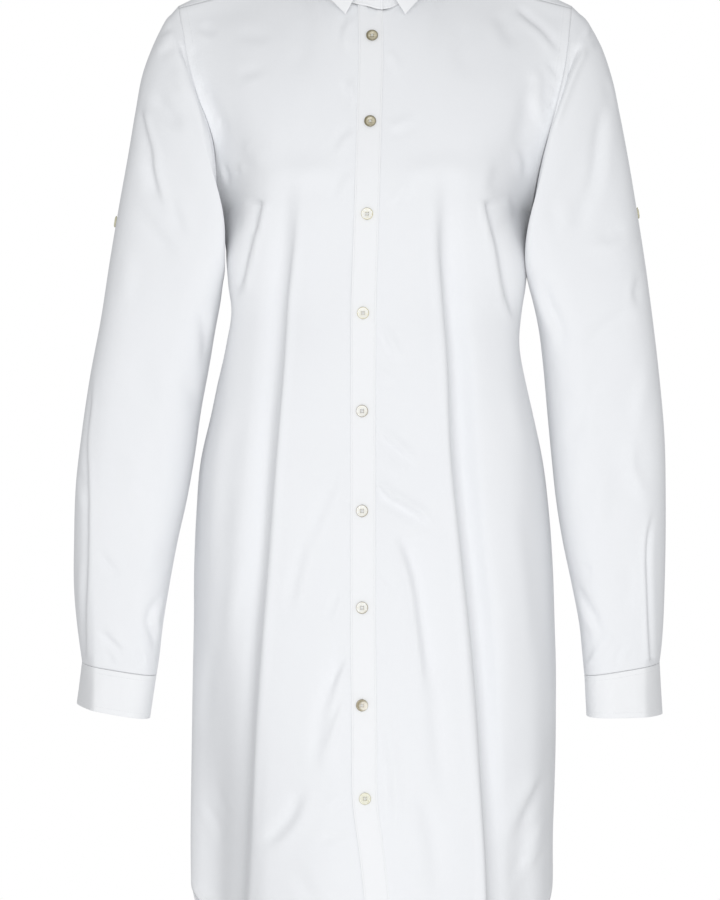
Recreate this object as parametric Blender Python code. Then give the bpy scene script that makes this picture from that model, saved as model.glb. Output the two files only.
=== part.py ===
"""Long-sleeved shirt dress, hollow and filled out as it is when worn.

Sizes are millimetres in the tables and metres in the finished meshes. +X is to the right as the front is
looked at, the front faces -Y and +Z is up. The origin lies between the side points of the neck.
Side -1 is the wearer's right, side +1 the wearer's left.
"""
import math
from collections import namedtuple

import bmesh
import bpy
from mathutils import Vector

MM = 0.001

# Cloth and seams
WALL = 1.2
SEAM_GAP = 0.3
LAYER_GAP = 0.4

# Neckline loop
NECK_HALF_WIDTH = 66.0
NECK_HALF_DEPTH = 63.0
NECK_CENTRE_Y = -7.0
NECK_BACK_Z = 15.0
NECK_DROP = 65.0
NECK_SWEEP = 1.77
YOKE_FRONT_ANGLE = 70.5

# Columns of the fronts along the neckline, as half widths
NECK_STEPS = (15, 28, 41, 52)

# Points along the shoulder seam, as shares of its length from the neck
SHOULDER_SHARES = (0.0, 0.15, 0.31, 0.48, 0.64, 0.8, 0.91, 1.0)

# Middle of the seam between the back and the yoke, and how round the yoke is
YOKE_BACK_Y = 94.0
YOKE_BACK_Z = -82.0
YOKE_FULL_BACK = 7.0
YOKE_FULL_TOP = 3.0
YOKE_FULL_SIDE = 4.0

# How far down a panel keeps the depth that its top edge asks for
TOP_BLEND = 150.0

# Hem of the body
HEM_FRONT_Z = -935.0
HEM_BACK_Z = -958.0
HEM_SIDE_Z = {-1: -880.0, 1: -866.0}
HEM_SWEEP = 3.0
HEM_BLEND_Z = -630.0
HEM_ROWS = 6

# Width of the armhole on each side, against the table below
ARM_WIDTH = {-1: 0.995, 1: 1.016}
UNDERARM_Z = -240.0

# Level sections: where a front or back turns to the side, and where the sides start to face outwards
SECTION_SPLIT = 0.58
SIDE_TURN_Z = -225.0
SIDE_TURN_SPAN = 60.0
SIDE_MARGIN = 4.0

# Long folds: the low ridge before the step, the step, the soft recovery after it and its fading at the side
FOLD_RIDGE = 0.12
FOLD_RIDGE_REACH = 40.0
FOLD_STEP = 13.0
FOLD_RECOVERY = 46.0
FOLD_RECOVERED = 0.8
FOLD_FADE_START = 0.72
FOLD_SIDE_START = 34.0

# Button band
BAND_WIDTH = 23.0
BAND_UNDER_EDGE = 8.0
BAND_TOP_DROP = 3.0

# Collar stand
STAND_HEIGHT_FRONT = 24.0
STAND_HEIGHT_BACK = 30.0
STAND_LEAN = 3.0
STAND_OVERLAP_ANGLE = 7.5
STAND_LAP = 1.8
STAND_LAP_ANGLE = 333.0
STAND_LAP_SPAN = 14.0
STAND_LEVEL_ANGLE = 13.2
STAND_CORNER_DROP = 5.0
STAND_NEAR_SHARE = 0.4

# Collar: how far its roll rises and stands out, where it turns down, and how full the leaf is
COLLAR_ROLL_HEIGHT = 3.5
COLLAR_ROLL_TOP = 5.1
COLLAR_ROLL_OUT = 3.2
COLLAR_START_OUT = 0.3
COLLAR_TURN_IN = 1.4
COLLAR_TURN_OUT = 1.6
COLLAR_TURN_DROP = 2.2
COLLAR_FULLNESS = 2.4
COLLAR_ANGLES = (4, 9, 14, 21, 28, 36, 45, 54, 64, 76, 90, 105, 120, 135, 150, 165, 180)
COLLAR_ROLL_LEVELS = 3
COLLAR_LEAF_STEPS = 4

# Sleeves: where the armhole's points lie round a ring, and how square the rings are
SLEEVE_START_ANGLE = 22.0
SLEEVE_YOKE_ANGLE = 318.0
SLEEVE_OUTER_Y = -12.0
SLEEVE_INNER_Y = -8.0
SLEEVE_ROUNDNESS = 2.15
SLEEVE_INNER_ROUNDNESS = 0.65
SLEEVE_UPPER_Z = -430.0
SLEEVE_UPPER_SPAN = 170.0
SLEEVE_UPPER_SHIFT = 0.07
SLEEVE_FIRST_SHARE = 0.42

# Cuffs
CUFF_LAP = 1.9
CUFF_LAP_SEGMENTS = 3
CUFF_LAP_REACH = 5
CUFF_LAP_ANGLE = 268.0

# Buttons
BUTTON_RADIUS = 5.5
BUTTON_THICKNESS = 2.4
SMALL_BUTTON_RADIUS = 5.0
BUTTON_SIDES = 16
BUTTON_CLEAR = 0.45
STAND_BUTTON_CLEAR = 1.08
SMALL_BUTTON_CLEAR = 0.7
TAB_BUTTON_Z = {-1: -249.0, 1: -241.0}

# Colours
POPLIN_WHITE = (0.90, 0.91, 0.93, 1.0)
SHELL_CREAM = (0.80, 0.76, 0.64, 1.0)

ArmholeRow = namedtuple("ArmholeRow", "x y z")
ARMHOLE_FRONT = [
    ArmholeRow(184.5, -14, -48), ArmholeRow(183, -25, -60), ArmholeRow(181, -35, -75),
    ArmholeRow(178.5, -44, -93), ArmholeRow(175, -52, -113), ArmholeRow(170.5, -59, -135),
    ArmholeRow(164.5, -63, -158), ArmholeRow(158.5, -62, -180), ArmholeRow(153.5, -54, -201),
    ArmholeRow(150.2, -39, -220), ArmholeRow(148.6, -20, -234), ArmholeRow(148, 0, UNDERARM_Z),
]
ARMHOLE_BACK = [
    ArmholeRow(148, 0, UNDERARM_Z), ArmholeRow(148.8, 20, -233), ArmholeRow(150.6, 38, -218),
    ArmholeRow(154, 51, -198), ArmholeRow(158.5, 58, -176), ArmholeRow(163.5, 60, -153),
    ArmholeRow(168, 58.5, -131), ArmholeRow(172, 54.5, -110), ArmholeRow(175.5, 49, -91),
    ArmholeRow(178.5, 42, -74),
]
ARMHOLE_YOKE = [
    ArmholeRow(178.5, 42, -74), ArmholeRow(181.5, 31, -60), ArmholeRow(183.8, 18, -50),
    ArmholeRow(184.8, 4, -45.5), ArmholeRow(184.9, -6, -45.5), ArmholeRow(184.5, -14, -48),
]

# Side seam below the armhole: where each side stands
SideRow = namedtuple("SideRow", "z right left")
SIDE_ROWS = [
    SideRow(-240, 147.3, 149.8), SideRow(-262, 140.5, 145), SideRow(-285, 137, 144),
    SideRow(-310, 134, 142.8), SideRow(-335, 131, 139.6), SideRow(-362, 137.7, 136.2),
    SideRow(-395, 146, 143), SideRow(-430, 153.5, 151), SideRow(-475, 163.5, 161),
    SideRow(-525, 168, 167.3), SideRow(-575, 170.3, 171), SideRow(-630, 171, 173),
    SideRow(-685, 172.5, 174.5), SideRow(-740, 173.7, 174.4), SideRow(-790, 174.7, 173.4),
    SideRow(-830, 175.5, 172.2), SideRow(-960, 174.5, 173),
]

# Level sections: the middle's depth, and the place where the front or back turns to the side
Section = namedtuple("Section", "z middle_y corner_x corner_y bend")
FRONT_SECTIONS = [
    Section(0, -50, 100, -40, 1), Section(-50, -70, 104, -62, 1), Section(-80, -84, 106, -75, 1),
    Section(-120, -99, 106, -89, 1), Section(-160, -113, 102, -102, 0.8),
    Section(-205, -124, 98, -112, 0.5), Section(-236, -127.5, 102, -111, 0.4),
    Section(-277, -128.5, 112, -104, 0.4), Section(-305, -129, 117, -97, 0.5),
    Section(-335, -129.5, 119, -88, 0.8), Section(-380, -130, 118, -94, 1),
    Section(-430, -131, 122, -99, 1), Section(-520, -134, 128, -102, 1),
    Section(-610, -138, 131, -104, 1), Section(-700, -141, 132, -105, 1),
    Section(-800, -144, 132, -104, 1), Section(-970, -148, 132, -103, 1),
]
BACK_SECTIONS = [
    Section(-60, 87, 104, 72, 1), Section(-80, 94, 106, 82, 1), Section(-120, 102, 106, 91, 1),
    Section(-160, 106, 105, 95, 1), Section(-205, 107, 104, 96, 1), Section(-250, 104, 104, 92, 1),
    Section(-300, 97, 104, 84, 1), Section(-350, 91, 105, 77, 1), Section(-400, 88, 109, 75, 1),
    Section(-460, 91, 115, 78, 1), Section(-520, 99, 120, 85, 1), Section(-600, 110, 124, 93, 1),
    Section(-700, 118, 127, 99, 1), Section(-800, 122, 128, 101, 1), Section(-970, 127, 129, 103, 1),
]

# The two long folds of the front and of the back: distance of the fold's edge from the middle, and depth
FoldRow = namedtuple("FoldRow", "z right left depth")
FRONT_FOLDS = [
    FoldRow(0, 62, 52, 0), FoldRow(-170, 66, 55, 0), FoldRow(-232, 69, 57, 4), FoldRow(-278, 71, 59, 7),
    FoldRow(-324, 73, 62, 10), FoldRow(-370, 77, 66, 13), FoldRow(-416, 82, 69, 15),
    FoldRow(-462, 87, 73, 17), FoldRow(-553, 93, 79, 19), FoldRow(-645, 101, 87, 21),
    FoldRow(-737, 106, 94, 23), FoldRow(-828, 105, 103, 26), FoldRow(-970, 100, 110, 28),
]
BACK_FOLDS = [
    FoldRow(0, 52, 60, 0), FoldRow(-330, 56, 63, 0), FoldRow(-420, 62, 70, 6), FoldRow(-520, 70, 77, 11),
    FoldRow(-620, 78, 84, 14), FoldRow(-740, 86, 90, 17), FoldRow(-860, 92, 95, 20),
    FoldRow(-970, 95, 98, 22),
]

# Middle of the button band, seen from the front
BandRow = namedtuple("BandRow", "z x")
BAND_ROWS = [
    BandRow(0, -3), BandRow(-53, -3), BandRow(-79, -2.1), BandRow(-160, -4), BandRow(-245, -6.4),
    BandRow(-336, -9.1), BandRow(-426, -9.6), BandRow(-606, -9.6), BandRow(-695, -8.7),
    BandRow(-780, -7.8), BandRow(-825, -2.3), BandRow(-871, 3.1), BandRow(-970, 11),
]
ButtonRow = namedtuple("ButtonRow", "x z")
BUTTON_ROWS = [
    ButtonRow(-1.2, -79.3), ButtonRow(-3.1, -159.6), ButtonRow(-5.9, -245.2), ButtonRow(-9.6, -335.9),
    ButtonRow(-10.5, -425.6), ButtonRow(-10.5, -517.0), ButtonRow(-10.5, -605.5),
    ButtonRow(-10.5, -694.7), ButtonRow(-7.8, -780.1),
]

# Sleeve rings from the armhole down: outer and inner edge, front and back depth
SleeveRow = namedtuple("SleeveRow", "out_x out_z in_x in_z front back roll")
SLEEVE_ROWS = {
    -1: [
        SleeveRow(201, -61, 152, -256, -76, 70, 15), SleeveRow(211, -82, 147.5, -268, -79, 72, 18),
        SleeveRow(219, -110, 144, -280, -81, 69, 15), SleeveRow(226, -145, 142, -293, -81, 64, 10),
        SleeveRow(232.5, -188, 143, -308, -80, 58, 5), SleeveRow(241, -235, 146, -326, -78, 52, 1),
        SleeveRow(249.5, -285, 151, -352, -75, 47, 0), SleeveRow(258, -340, 157, -386, -73, 43, 0),
        SleeveRow(267, -395, 162.5, -428, -71, 39, 0), SleeveRow(275.5, -450, 168.5, -470, -69, 35, 0),
        SleeveRow(281.5, -500, 176, -512, -67, 31, 0), SleeveRow(283.5, -550, 185, -552, -64, 28, 0),
        SleeveRow(284, -595, 192.5, -592, -61, 25, 0), SleeveRow(281.5, -630, 199, -632, -57, 22, 0),
        SleeveRow(278.5, -654, 202.5, -662, -54, 20, 0), SleeveRow(276.8, -665.7, 204.8, -677, -52, 19, 0),
    ],
    1: [
        SleeveRow(207, -61, 155.5, -256, -76, 70, 8), SleeveRow(217, -82, 152, -268, -79, 72, 11),
        SleeveRow(225, -110, 149.5, -280, -81, 69, 12), SleeveRow(232, -145, 148.2, -293, -81, 64, 11),
        SleeveRow(240, -188, 148.6, -308, -80, 58, 7), SleeveRow(248, -235, 151, -326, -78, 52, 2),
        SleeveRow(256, -285, 156, -352, -75, 47, 0), SleeveRow(263.5, -340, 160.5, -386, -73, 43, 0),
        SleeveRow(270, -395, 164.5, -428, -71, 39, 0), SleeveRow(275, -450, 168.5, -470, -69, 35, 0),
        SleeveRow(276.5, -500, 173, -512, -67, 31, 0), SleeveRow(277, -550, 179.5, -552, -64, 28, 0),
        SleeveRow(276.5, -595, 188, -592, -61, 25, 0), SleeveRow(275.5, -630, 195.5, -632, -57, 22, 0),
        SleeveRow(273.8, -654, 198.5, -662, -54, 20, 0), SleeveRow(272.4, -665.7, 200, -677, -52, 19, 0),
    ],
}
CuffEnd = namedtuple("CuffEnd", "out_x out_z in_x in_z front back")
CUFF_ENDS = {
    -1: CuffEnd(283, -706, 211, -721.5, -54, 18),
    1: CuffEnd(275.8, -712, 202, -721.5, -54, 18),
}

# Lower edge of the collar, by angle round the neck from the front
CollarRow = namedtuple("CollarRow", "angle x y z")
COLLAR_EDGE = [
    CollarRow(3, 26.5, -79, -58), CollarRow(14, 37, -75.5, -47.5), CollarRow(28, 52, -67, -34),
    CollarRow(45, 70, -52, -20), CollarRow(64, 85, -31, -11), CollarRow(90, 92, 4, -6),
    CollarRow(120, 77, 43, -3), CollarRow(150, 42, 66, 2), CollarRow(180, 0, 71.5, 5),
]


def smooth(t):
    """Ease from 0 to 1 as t goes from 0 to 1."""
    t = min(max(t, 0.0), 1.0)
    return t * t * (3.0 - 2.0 * t)


def lookup(rows, key, field, at):
    """Read a column of a table at a value of its key, on a smooth curve through the rows."""
    keys = [getattr(row, key) for row in rows]
    values = [getattr(row, field) for row in rows]
    if keys[0] > keys[-1]:
        keys = [-k for k in keys]
        at = -at
    if at <= keys[0]:
        return values[0]
    if at >= keys[-1]:
        return values[-1]
    i = max(j for j in range(len(keys) - 1) if keys[j] <= at)
    slopes = [(values[j + 1] - values[j]) / (keys[j + 1] - keys[j]) for j in range(len(keys) - 1)]

    def tangent(j):
        if j == 0 or j == len(keys) - 1:
            return slopes[min(j, len(slopes) - 1)]
        before, after = slopes[j - 1], slopes[j]
        return 0.0 if before * after <= 0 else 2 * before * after / (before + after)

    step = keys[i + 1] - keys[i]
    t = (at - keys[i]) / step
    return (values[i] * (2 * t ** 3 - 3 * t ** 2 + 1) + values[i + 1] * (3 * t ** 2 - 2 * t ** 3)
            + step * (tangent(i) * (t ** 3 - 2 * t ** 2 + t) + tangent(i + 1) * (t ** 3 - t ** 2)))


def neck_point(angle):
    """Point of the neckline; the angle in degrees runs from the front through the wearer's left."""
    turn = math.radians(angle)
    rise = ((1 + math.cos(turn)) / 2) ** NECK_SWEEP
    return Vector((NECK_HALF_WIDTH * math.sin(turn), NECK_CENTRE_Y - NECK_HALF_DEPTH * math.cos(turn),
                   NECK_BACK_Z - NECK_DROP * rise))


def armhole(rows, side):
    """Points of one stretch of the armhole on a side."""
    return [Vector((side * row.x * ARM_WIDTH[side], row.y, row.z)) for row in rows]


def side_edge(z, side, rows):
    """Half width and depth of the edge of a front or back section at a height."""
    if z > UNDERARM_Z:
        edge_x = lookup(rows, "z", "x", z) * ARM_WIDTH[side]
        return edge_x, lookup(rows, "z", "y", z)
    return lookup(SIDE_ROWS, "z", "right" if side < 0 else "left", z), 0.0


def section_point(z, s, side, sections, armhole_rows):
    """Half width and depth on a level section, for s from 0 in the middle to 1 at the side."""
    sign = -1 if sections is FRONT_SECTIONS else 1
    middle = (0.0, lookup(sections, "z", "middle_y", z))
    corner = (lookup(sections, "z", "corner_x", z), lookup(sections, "z", "corner_y", z))
    edge = side_edge(z, side, armhole_rows)
    bend = lookup(sections, "z", "bend", z)
    chord = math.dist(middle, edge)
    along = ((edge[0] - middle[0]) / chord, (edge[1] - middle[1]) / chord)
    flank = math.dist(corner, edge)
    straight = ((edge[0] - corner[0]) / flank, (edge[1] - corner[1]) / flank)
    turn = smooth((SIDE_TURN_Z - z) / SIDE_TURN_SPAN)
    end = (straight[0] * (1 - turn), straight[1] * (1 - turn) - sign * turn)
    if s <= SECTION_SPLIT:
        a, b, t = middle, corner, s / SECTION_SPLIT
        length = math.dist(a, b)
        ta, tb = (length, 0.0), (along[0] * length * bend, along[1] * length * bend)
    else:
        a, b, t = corner, edge, (s - SECTION_SPLIT) / (1 - SECTION_SPLIT)
        ta, tb = (along[0] * flank * bend, along[1] * flank * bend), (end[0] * flank, end[1] * flank)
    h = (2 * t ** 3 - 3 * t ** 2 + 1, t ** 3 - 2 * t ** 2 + t, 3 * t ** 2 - 2 * t ** 3, t ** 3 - t ** 2)
    return tuple(a[i] * h[0] + ta[i] * h[1] + b[i] * h[2] + tb[i] * h[3] for i in (0, 1))


def s_at(z, x, side, sections, armhole_rows):
    """Find the section parameter where the half width is x."""
    low, high = 0.0, 1.0
    for _ in range(24):
        middle = (low + high) / 2
        if section_point(z, middle, side, sections, armhole_rows)[0] < x:
            low = middle
        else:
            high = middle
    return (low + high) / 2


def fold_offset(x, z, s, side, folds):
    """How far a long fold sinks the cloth at a half width x: a steep step, then a soft recovery."""
    depth = lookup(folds, "z", "depth", z)
    beyond = x - lookup(folds, "z", "right" if side < 0 else "left", z)
    fade = 1 - smooth((s - FOLD_FADE_START) / (1 - FOLD_FADE_START))
    if beyond < 0:
        return -FOLD_RIDGE * depth * smooth(1 + beyond / FOLD_RIDGE_REACH) * fade
    if beyond < FOLD_STEP:
        return depth * (smooth(beyond / FOLD_STEP) * (1 + FOLD_RIDGE) - FOLD_RIDGE) * fade
    return depth * (1 - FOLD_RECOVERED * smooth((beyond - FOLD_STEP) / FOLD_RECOVERY)) * fade


def seam_point(x, seam_start, seam_end):
    """Point of a straight shoulder seam at a half width."""
    t = (x - abs(seam_start.x)) / (abs(seam_end.x) - abs(seam_start.x))
    return seam_start.lerp(seam_end, t)


def panel_top(x, side, front):
    """Top edge of a front or back panel at a half width x: neckline, then shoulder seam."""
    if front:
        start = neck_point(YOKE_FRONT_ANGLE)
        if x < start.x:
            point = neck_point(math.degrees(math.asin(x / NECK_HALF_WIDTH)))
        else:
            point = seam_point(x, start, armhole(ARMHOLE_FRONT, side)[0])
    else:
        corner = armhole(ARMHOLE_YOKE, side)[0]
        t = x / abs(corner.x)
        point = Vector((x, YOKE_BACK_Y + (corner.y - YOKE_BACK_Y) * t ** 2.6,
                        YOKE_BACK_Z + (corner.z - YOKE_BACK_Z) * t ** 2))
    return Vector((side * x, point.y, point.z))


def body_point(z, s, side, front, top=None):
    """Point of the body's outer face; top is the point of the panel's top edge on that column."""
    sections = FRONT_SECTIONS if front else BACK_SECTIONS
    rows = ARMHOLE_FRONT if front else ARMHOLE_BACK
    x, y = section_point(z, s, side, sections, rows)
    sign = -1 if front else 1
    y -= sign * fold_offset(x, z, s, side, FRONT_FOLDS if front else BACK_FOLDS)
    if top is not None and s < 1:
        plain = section_point(top.z, s_at(top.z, abs(top.x), side, sections, rows), side, sections, rows)[1]
        keep = max(0.0, 1 - (top.z - z) / TOP_BLEND) ** 2
        y += (top.y - plain) * keep
    return Vector((side * x, y, z))


def hem_height(s, side, front):
    """Height of the curved hem: low in the middle, high at the side seam."""
    low = HEM_FRONT_Z if front else HEM_BACK_Z
    return low + (HEM_SIDE_Z[side] - low) * s ** HEM_SWEEP


def column_points(tops, lows, side, front):
    """Columns of a half panel from its top edge to its hem.

    tops holds the half width of each column at the top edge, and lows a rule for it lower down: a distance
    from the fold's edge, or a share of the way on from the last such column to the side.
    """
    sections = FRONT_SECTIONS if front else BACK_SECTIONS
    arm = ARMHOLE_FRONT if front else ARMHOLE_BACK[::-1]
    rows = ARMHOLE_FRONT if front else ARMHOLE_BACK
    levels = [row.z for row in arm] + [row.z for row in SIDE_ROWS[1:] if row.z >= HEM_BLEND_Z]
    hem_start = len(levels) - 1
    hem_drop = HEM_SIDE_Z[side] - HEM_BLEND_Z
    levels += [HEM_BLEND_Z + hem_drop * (i + 1) / HEM_ROWS for i in range(HEM_ROWS)]
    arm_count = len(arm) - 1
    key = "right" if side < 0 else "left"
    folds = FRONT_FOLDS if front else BACK_FOLDS
    grid = []
    for r, level in enumerate(levels):
        row = []
        for top_x, (kind, value) in zip(tops, lows):
            top = panel_top(max(top_x, 0.0), side, front)
            last = kind == "share" and value == 1.0
            if last:
                row.append(armhole(arm, side)[r] if r <= arm_count else body_point(level, 1.0, side, front))
                continue
            near = (top_x / abs(armhole(arm, side)[0].x)) ** 3
            if r <= arm_count:
                even = top.z + (UNDERARM_Z - top.z) * r / arm_count
                z = even + (level + (top.z - levels[0]) * (1 - r / arm_count) - even) * near
            else:
                z = level
            fold_x = lookup(folds, "z", key, z)
            if kind == "middle":
                x = band_side(z, value) * side
            elif kind == "part":
                x = fold_x * value
            else:
                x = fold_x + (value if kind == "past" else FOLD_SIDE_START)
            width = side_edge(z, side, rows)[0]
            low_s = s_at(z, min(max(x, 0.0), width - SIDE_MARGIN), side, sections, rows)
            if kind == "share":
                low_s = low_s + (1 - low_s) * value
            top_s = s_at(z, min(max(top_x, 0.0), width), side, sections, rows)
            s = low_s + (top_s - low_s) * (1 - smooth(r / arm_count)) if kind != "middle" else low_s
            if r > hem_start:
                z = HEM_BLEND_Z + (hem_height(s, side, front) - HEM_BLEND_Z) * (r - hem_start) / HEM_ROWS
            if r == 0:
                row.append(top.copy())
                continue
            point = body_point(z, s, side, front, top)
            if kind == "middle":
                point.x = band_side(z, value)
            row.append(point)
        grid.append(row)
    return grid


def band_side(z, offset):
    """Place across the front of a line beside the middle of the button band."""
    return lookup(BAND_ROWS, "z", "x", z) + offset


def front_grid(side):
    """Outer face of a front, from the button band to the armhole and side seam."""
    neck_side = math.sin(math.radians(YOKE_FRONT_ANGLE)) * NECK_HALF_WIDTH
    shoulder = abs(armhole(ARMHOLE_FRONT, side)[0].x) - neck_side
    tops = [0.0, *NECK_STEPS, *(neck_side + shoulder * share for share in SHOULDER_SHARES[:-1]), 0.0]
    lows = [("part", 0.38), ("part", 0.72), ("past", -9), ("past", 0), ("past", 5), ("past", 12),
            ("past", 32), ("share", 0.3), ("share", 0.55), ("share", 0.78), ("share", 0.92)]
    offset = -BAND_UNDER_EDGE if side < 0 else -BAND_UNDER_EDGE + SEAM_GAP
    edge_top = band_side(-50, offset) * side
    grid = column_points(tops, [("middle", offset), *lows, ("share", 1.0)], side, True)
    top = neck_point(math.degrees(math.asin(edge_top / NECK_HALF_WIDTH)) * side)
    grid[0][0] = top
    return grid


def back_grid():
    """Outer face of the back, from one side seam to the other."""
    width = {side: abs(armhole(ARMHOLE_YOKE, side)[0].x) for side in (-1, 1)}
    lows = [("part", 0.5), ("past", -6), ("past", 4), ("past", 13), ("past", 34), ("share", 0.4),
            ("share", 0.72), ("share", 1.0)]
    halves = {}
    for side in (-1, 1):
        tops = [width[side] * share for share in (0.13, 0.27, 0.4, 0.53, 0.66, 0.79, 0.9, 1.0)]
        halves[side] = column_points(tops, lows, side, False)
    middle = column_points([0.0], [("part", 0.0)], 1, False)
    return [left[::-1] + centre + right for left, centre, right in zip(halves[-1], middle, halves[1])]


def yoke_grid(back_top):
    """Outer face of the yoke: rows run from the neckline out to the armholes and the back seam."""
    left = [point.copy() for point in armhole(ARMHOLE_YOKE, 1)[::-1]]
    right = [point.copy() for point in armhole(ARMHOLE_YOKE, -1)]
    outer = left[:-1] + [point.copy() for point in back_top[::-1]] + right[1:]
    count = len(outer) - 1
    grid = []
    for share in SHOULDER_SHARES:
        row = []
        for i, end in enumerate(outer):
            angle = YOKE_FRONT_ANGLE + (360 - 2 * YOKE_FRONT_ANGLE) * i / count
            start = neck_point(angle)
            point = start.lerp(end, share)
            if share in (0.0, 1.0) or i in (0, count):
                row.append(point)
                continue
            fullness = math.sin(math.pi * share)
            edge = math.sin(math.pi * i / count)
            rise = YOKE_FULL_SIDE * (1 - edge) + YOKE_FULL_TOP
            row.append(point + Vector((0, YOKE_FULL_BACK * edge, rise)) * fullness)
        grid.append(row)
    return grid


def seam_angles():
    """Angles round the neck of every column of the fronts and of the yoke."""
    fronts = [math.degrees(math.asin(x / NECK_HALF_WIDTH)) for x in NECK_STEPS]
    count = len(ARMHOLE_YOKE) * 2 - 2 + 16
    step = (360 - 2 * YOKE_FRONT_ANGLE) / count
    yoke = [YOKE_FRONT_ANGLE + step * i for i in range(count + 1)]
    return fronts + yoke + [360 - angle for angle in fronts[::-1]]


def stand_base(angle):
    """Foot of the stand at an angle round the neck, level across the front, and its height there."""
    base = neck_point(angle)
    base.z = max(base.z, neck_point(STAND_LEVEL_ANGLE).z)
    back = (1 - math.cos(math.radians(angle))) / 2
    return base, STAND_HEIGHT_FRONT + (STAND_HEIGHT_BACK - STAND_HEIGHT_FRONT) * back


def stand_lap(angle):
    """How far the stand's right end stands out over its left end."""
    return STAND_LAP * smooth((angle - STAND_LAP_ANGLE) / STAND_LAP_SPAN)


def stand_grid():
    """Outer face of the collar stand, whose right end laps over its left end at the front."""
    ends = STAND_OVERLAP_ANGLE
    near = ends * STAND_NEAR_SHARE
    angles = [-ends, -near, near, *seam_angles(), 360 - near, 360 + near, 360 + ends]
    grid = []
    for share in (0.0, 0.5, 1.0):
        row = []
        for angle in angles:
            base, height = stand_base(angle)
            if angle in (angles[0], angles[-1]) and share == 1.0:
                height -= STAND_CORNER_DROP
            out = Vector((math.sin(math.radians(angle)), -math.cos(math.radians(angle)), 0))
            point = base + Vector((0, 0, height * share + SEAM_GAP / 2)) - out * STAND_LEAN * share
            row.append(point + out * stand_lap(angle))
        grid.append(row)
    return grid


def collar_grid():
    """Outer face of the collar: up from the stand, over the roll and down to the pointed edge."""
    angles = [*COLLAR_ANGLES, *(360 - angle for angle in COLLAR_ANGLES[-2::-1])]
    grid = []
    for level in range(COLLAR_ROLL_LEVELS + COLLAR_LEAF_STEPS + 1):
        row = []
        for angle in angles:
            folded = min(angle, 360 - angle)
            side = 1 if angle <= 180 else -1
            turn = math.radians(angle)
            out = Vector((math.sin(turn), -math.cos(turn), 0))
            base, height = stand_base(angle)
            top = base + Vector((0, 0, height)) - out * (STAND_LEAN - stand_lap(angle))
            edge = Vector((side * lookup(COLLAR_EDGE, "angle", "x", folded),
                           lookup(COLLAR_EDGE, "angle", "y", folded),
                           lookup(COLLAR_EDGE, "angle", "z", folded)))
            fold = top + Vector((0, 0, COLLAR_ROLL_TOP)) + out * COLLAR_ROLL_OUT
            start = top + Vector((0, 0, SEAM_GAP * 1.5))
            if level == 0:
                point = start
            elif level == 1:
                point = start + Vector((0, 0, COLLAR_ROLL_HEIGHT * 0.75)) + out * COLLAR_START_OUT
            elif level == 2:
                point = fold - out * COLLAR_TURN_IN
            else:
                share = (level - COLLAR_ROLL_LEVELS) / COLLAR_LEAF_STEPS
                shoulder = fold + out * COLLAR_TURN_OUT - Vector((0, 0, COLLAR_TURN_DROP))
                point = shoulder.lerp(edge, share) + out * COLLAR_FULLNESS * math.sin(math.pi * share)
            row.append(point)
        grid.append(row)
    return grid


def sleeve_ring(row, side, start_angles):
    """One ring of a sleeve: outer edge, front, inner edge and back joined by smooth quarter turns."""
    outer = Vector((side * row.out_x, SLEEVE_OUTER_Y, row.out_z))
    inner = Vector((side * row.in_x, SLEEVE_INNER_Y, row.in_z))
    upper = smooth((row.in_z - SLEEVE_UPPER_Z) / SLEEVE_UPPER_SPAN)
    centre = outer.lerp(inner, 0.5 + SLEEVE_UPPER_SHIFT * upper)
    front = Vector((centre.x, row.front, centre.z))
    back = Vector((centre.x, row.back, centre.z))
    ring = []
    for angle in start_angles:
        turn = math.radians(angle)
        c, s = abs(math.cos(turn)), abs(math.sin(turn))
        a = outer if math.cos(turn) > 0 else inner
        b = front if math.sin(turn) > 0 else back
        inner_front = math.cos(turn) < 0 < math.sin(turn)
        power = 2 / (SLEEVE_ROUNDNESS + SLEEVE_INNER_ROUNDNESS * upper * inner_front)
        point = centre + (a - centre) * c ** power + (b - centre) * s ** power
        bell = max(0.0, math.sin(math.radians(min(max((angle - 25) * 1.16, 0), 180)))) ** 1.5
        point.x -= side * row.roll * bell
        ring.append(point)
    return ring


def sleeve_angles():
    """Angle of each point of a sleeve ring: 0 outer, 90 front, 180 inner, 270 back."""
    front = len(ARMHOLE_FRONT) - 1
    back = len(ARMHOLE_BACK) - 1
    yoke = len(ARMHOLE_YOKE) - 1
    start, end = SLEEVE_START_ANGLE, SLEEVE_YOKE_ANGLE
    angles = [start + (180 - start) * i / front for i in range(front + 1)]
    angles += [180 + (end - 180) * i / back for i in range(1, back + 1)]
    angles += [end + (360 + start - end) * i / yoke for i in range(1, yoke)]
    return angles


def sleeve_grid(side):
    """Outer face of a sleeve, from the armhole to the cuff seam."""
    loop = armhole(ARMHOLE_FRONT, side) + armhole(ARMHOLE_BACK, side)[1:] + armhole(ARMHOLE_YOKE, side)[1:-1]
    angles = sleeve_angles()
    rings = [sleeve_ring(row, side, angles) for row in SLEEVE_ROWS[side]]
    first = []
    for seam, ring, angle in zip(loop, rings[0], angles):
        bell = max(0.0, math.sin(math.radians(min(max(angle - 10, 0), 180)))) ** 2
        point = seam.lerp(ring, SLEEVE_FIRST_SHARE)
        under = max(0.0, -math.cos(math.radians(angle))) ** 3
        first.append(point + Vector((side * (4.5 * under - 1.5 * bell), -3.5 * bell, 3.5 * under)))
    return [loop, first] + rings


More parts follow.
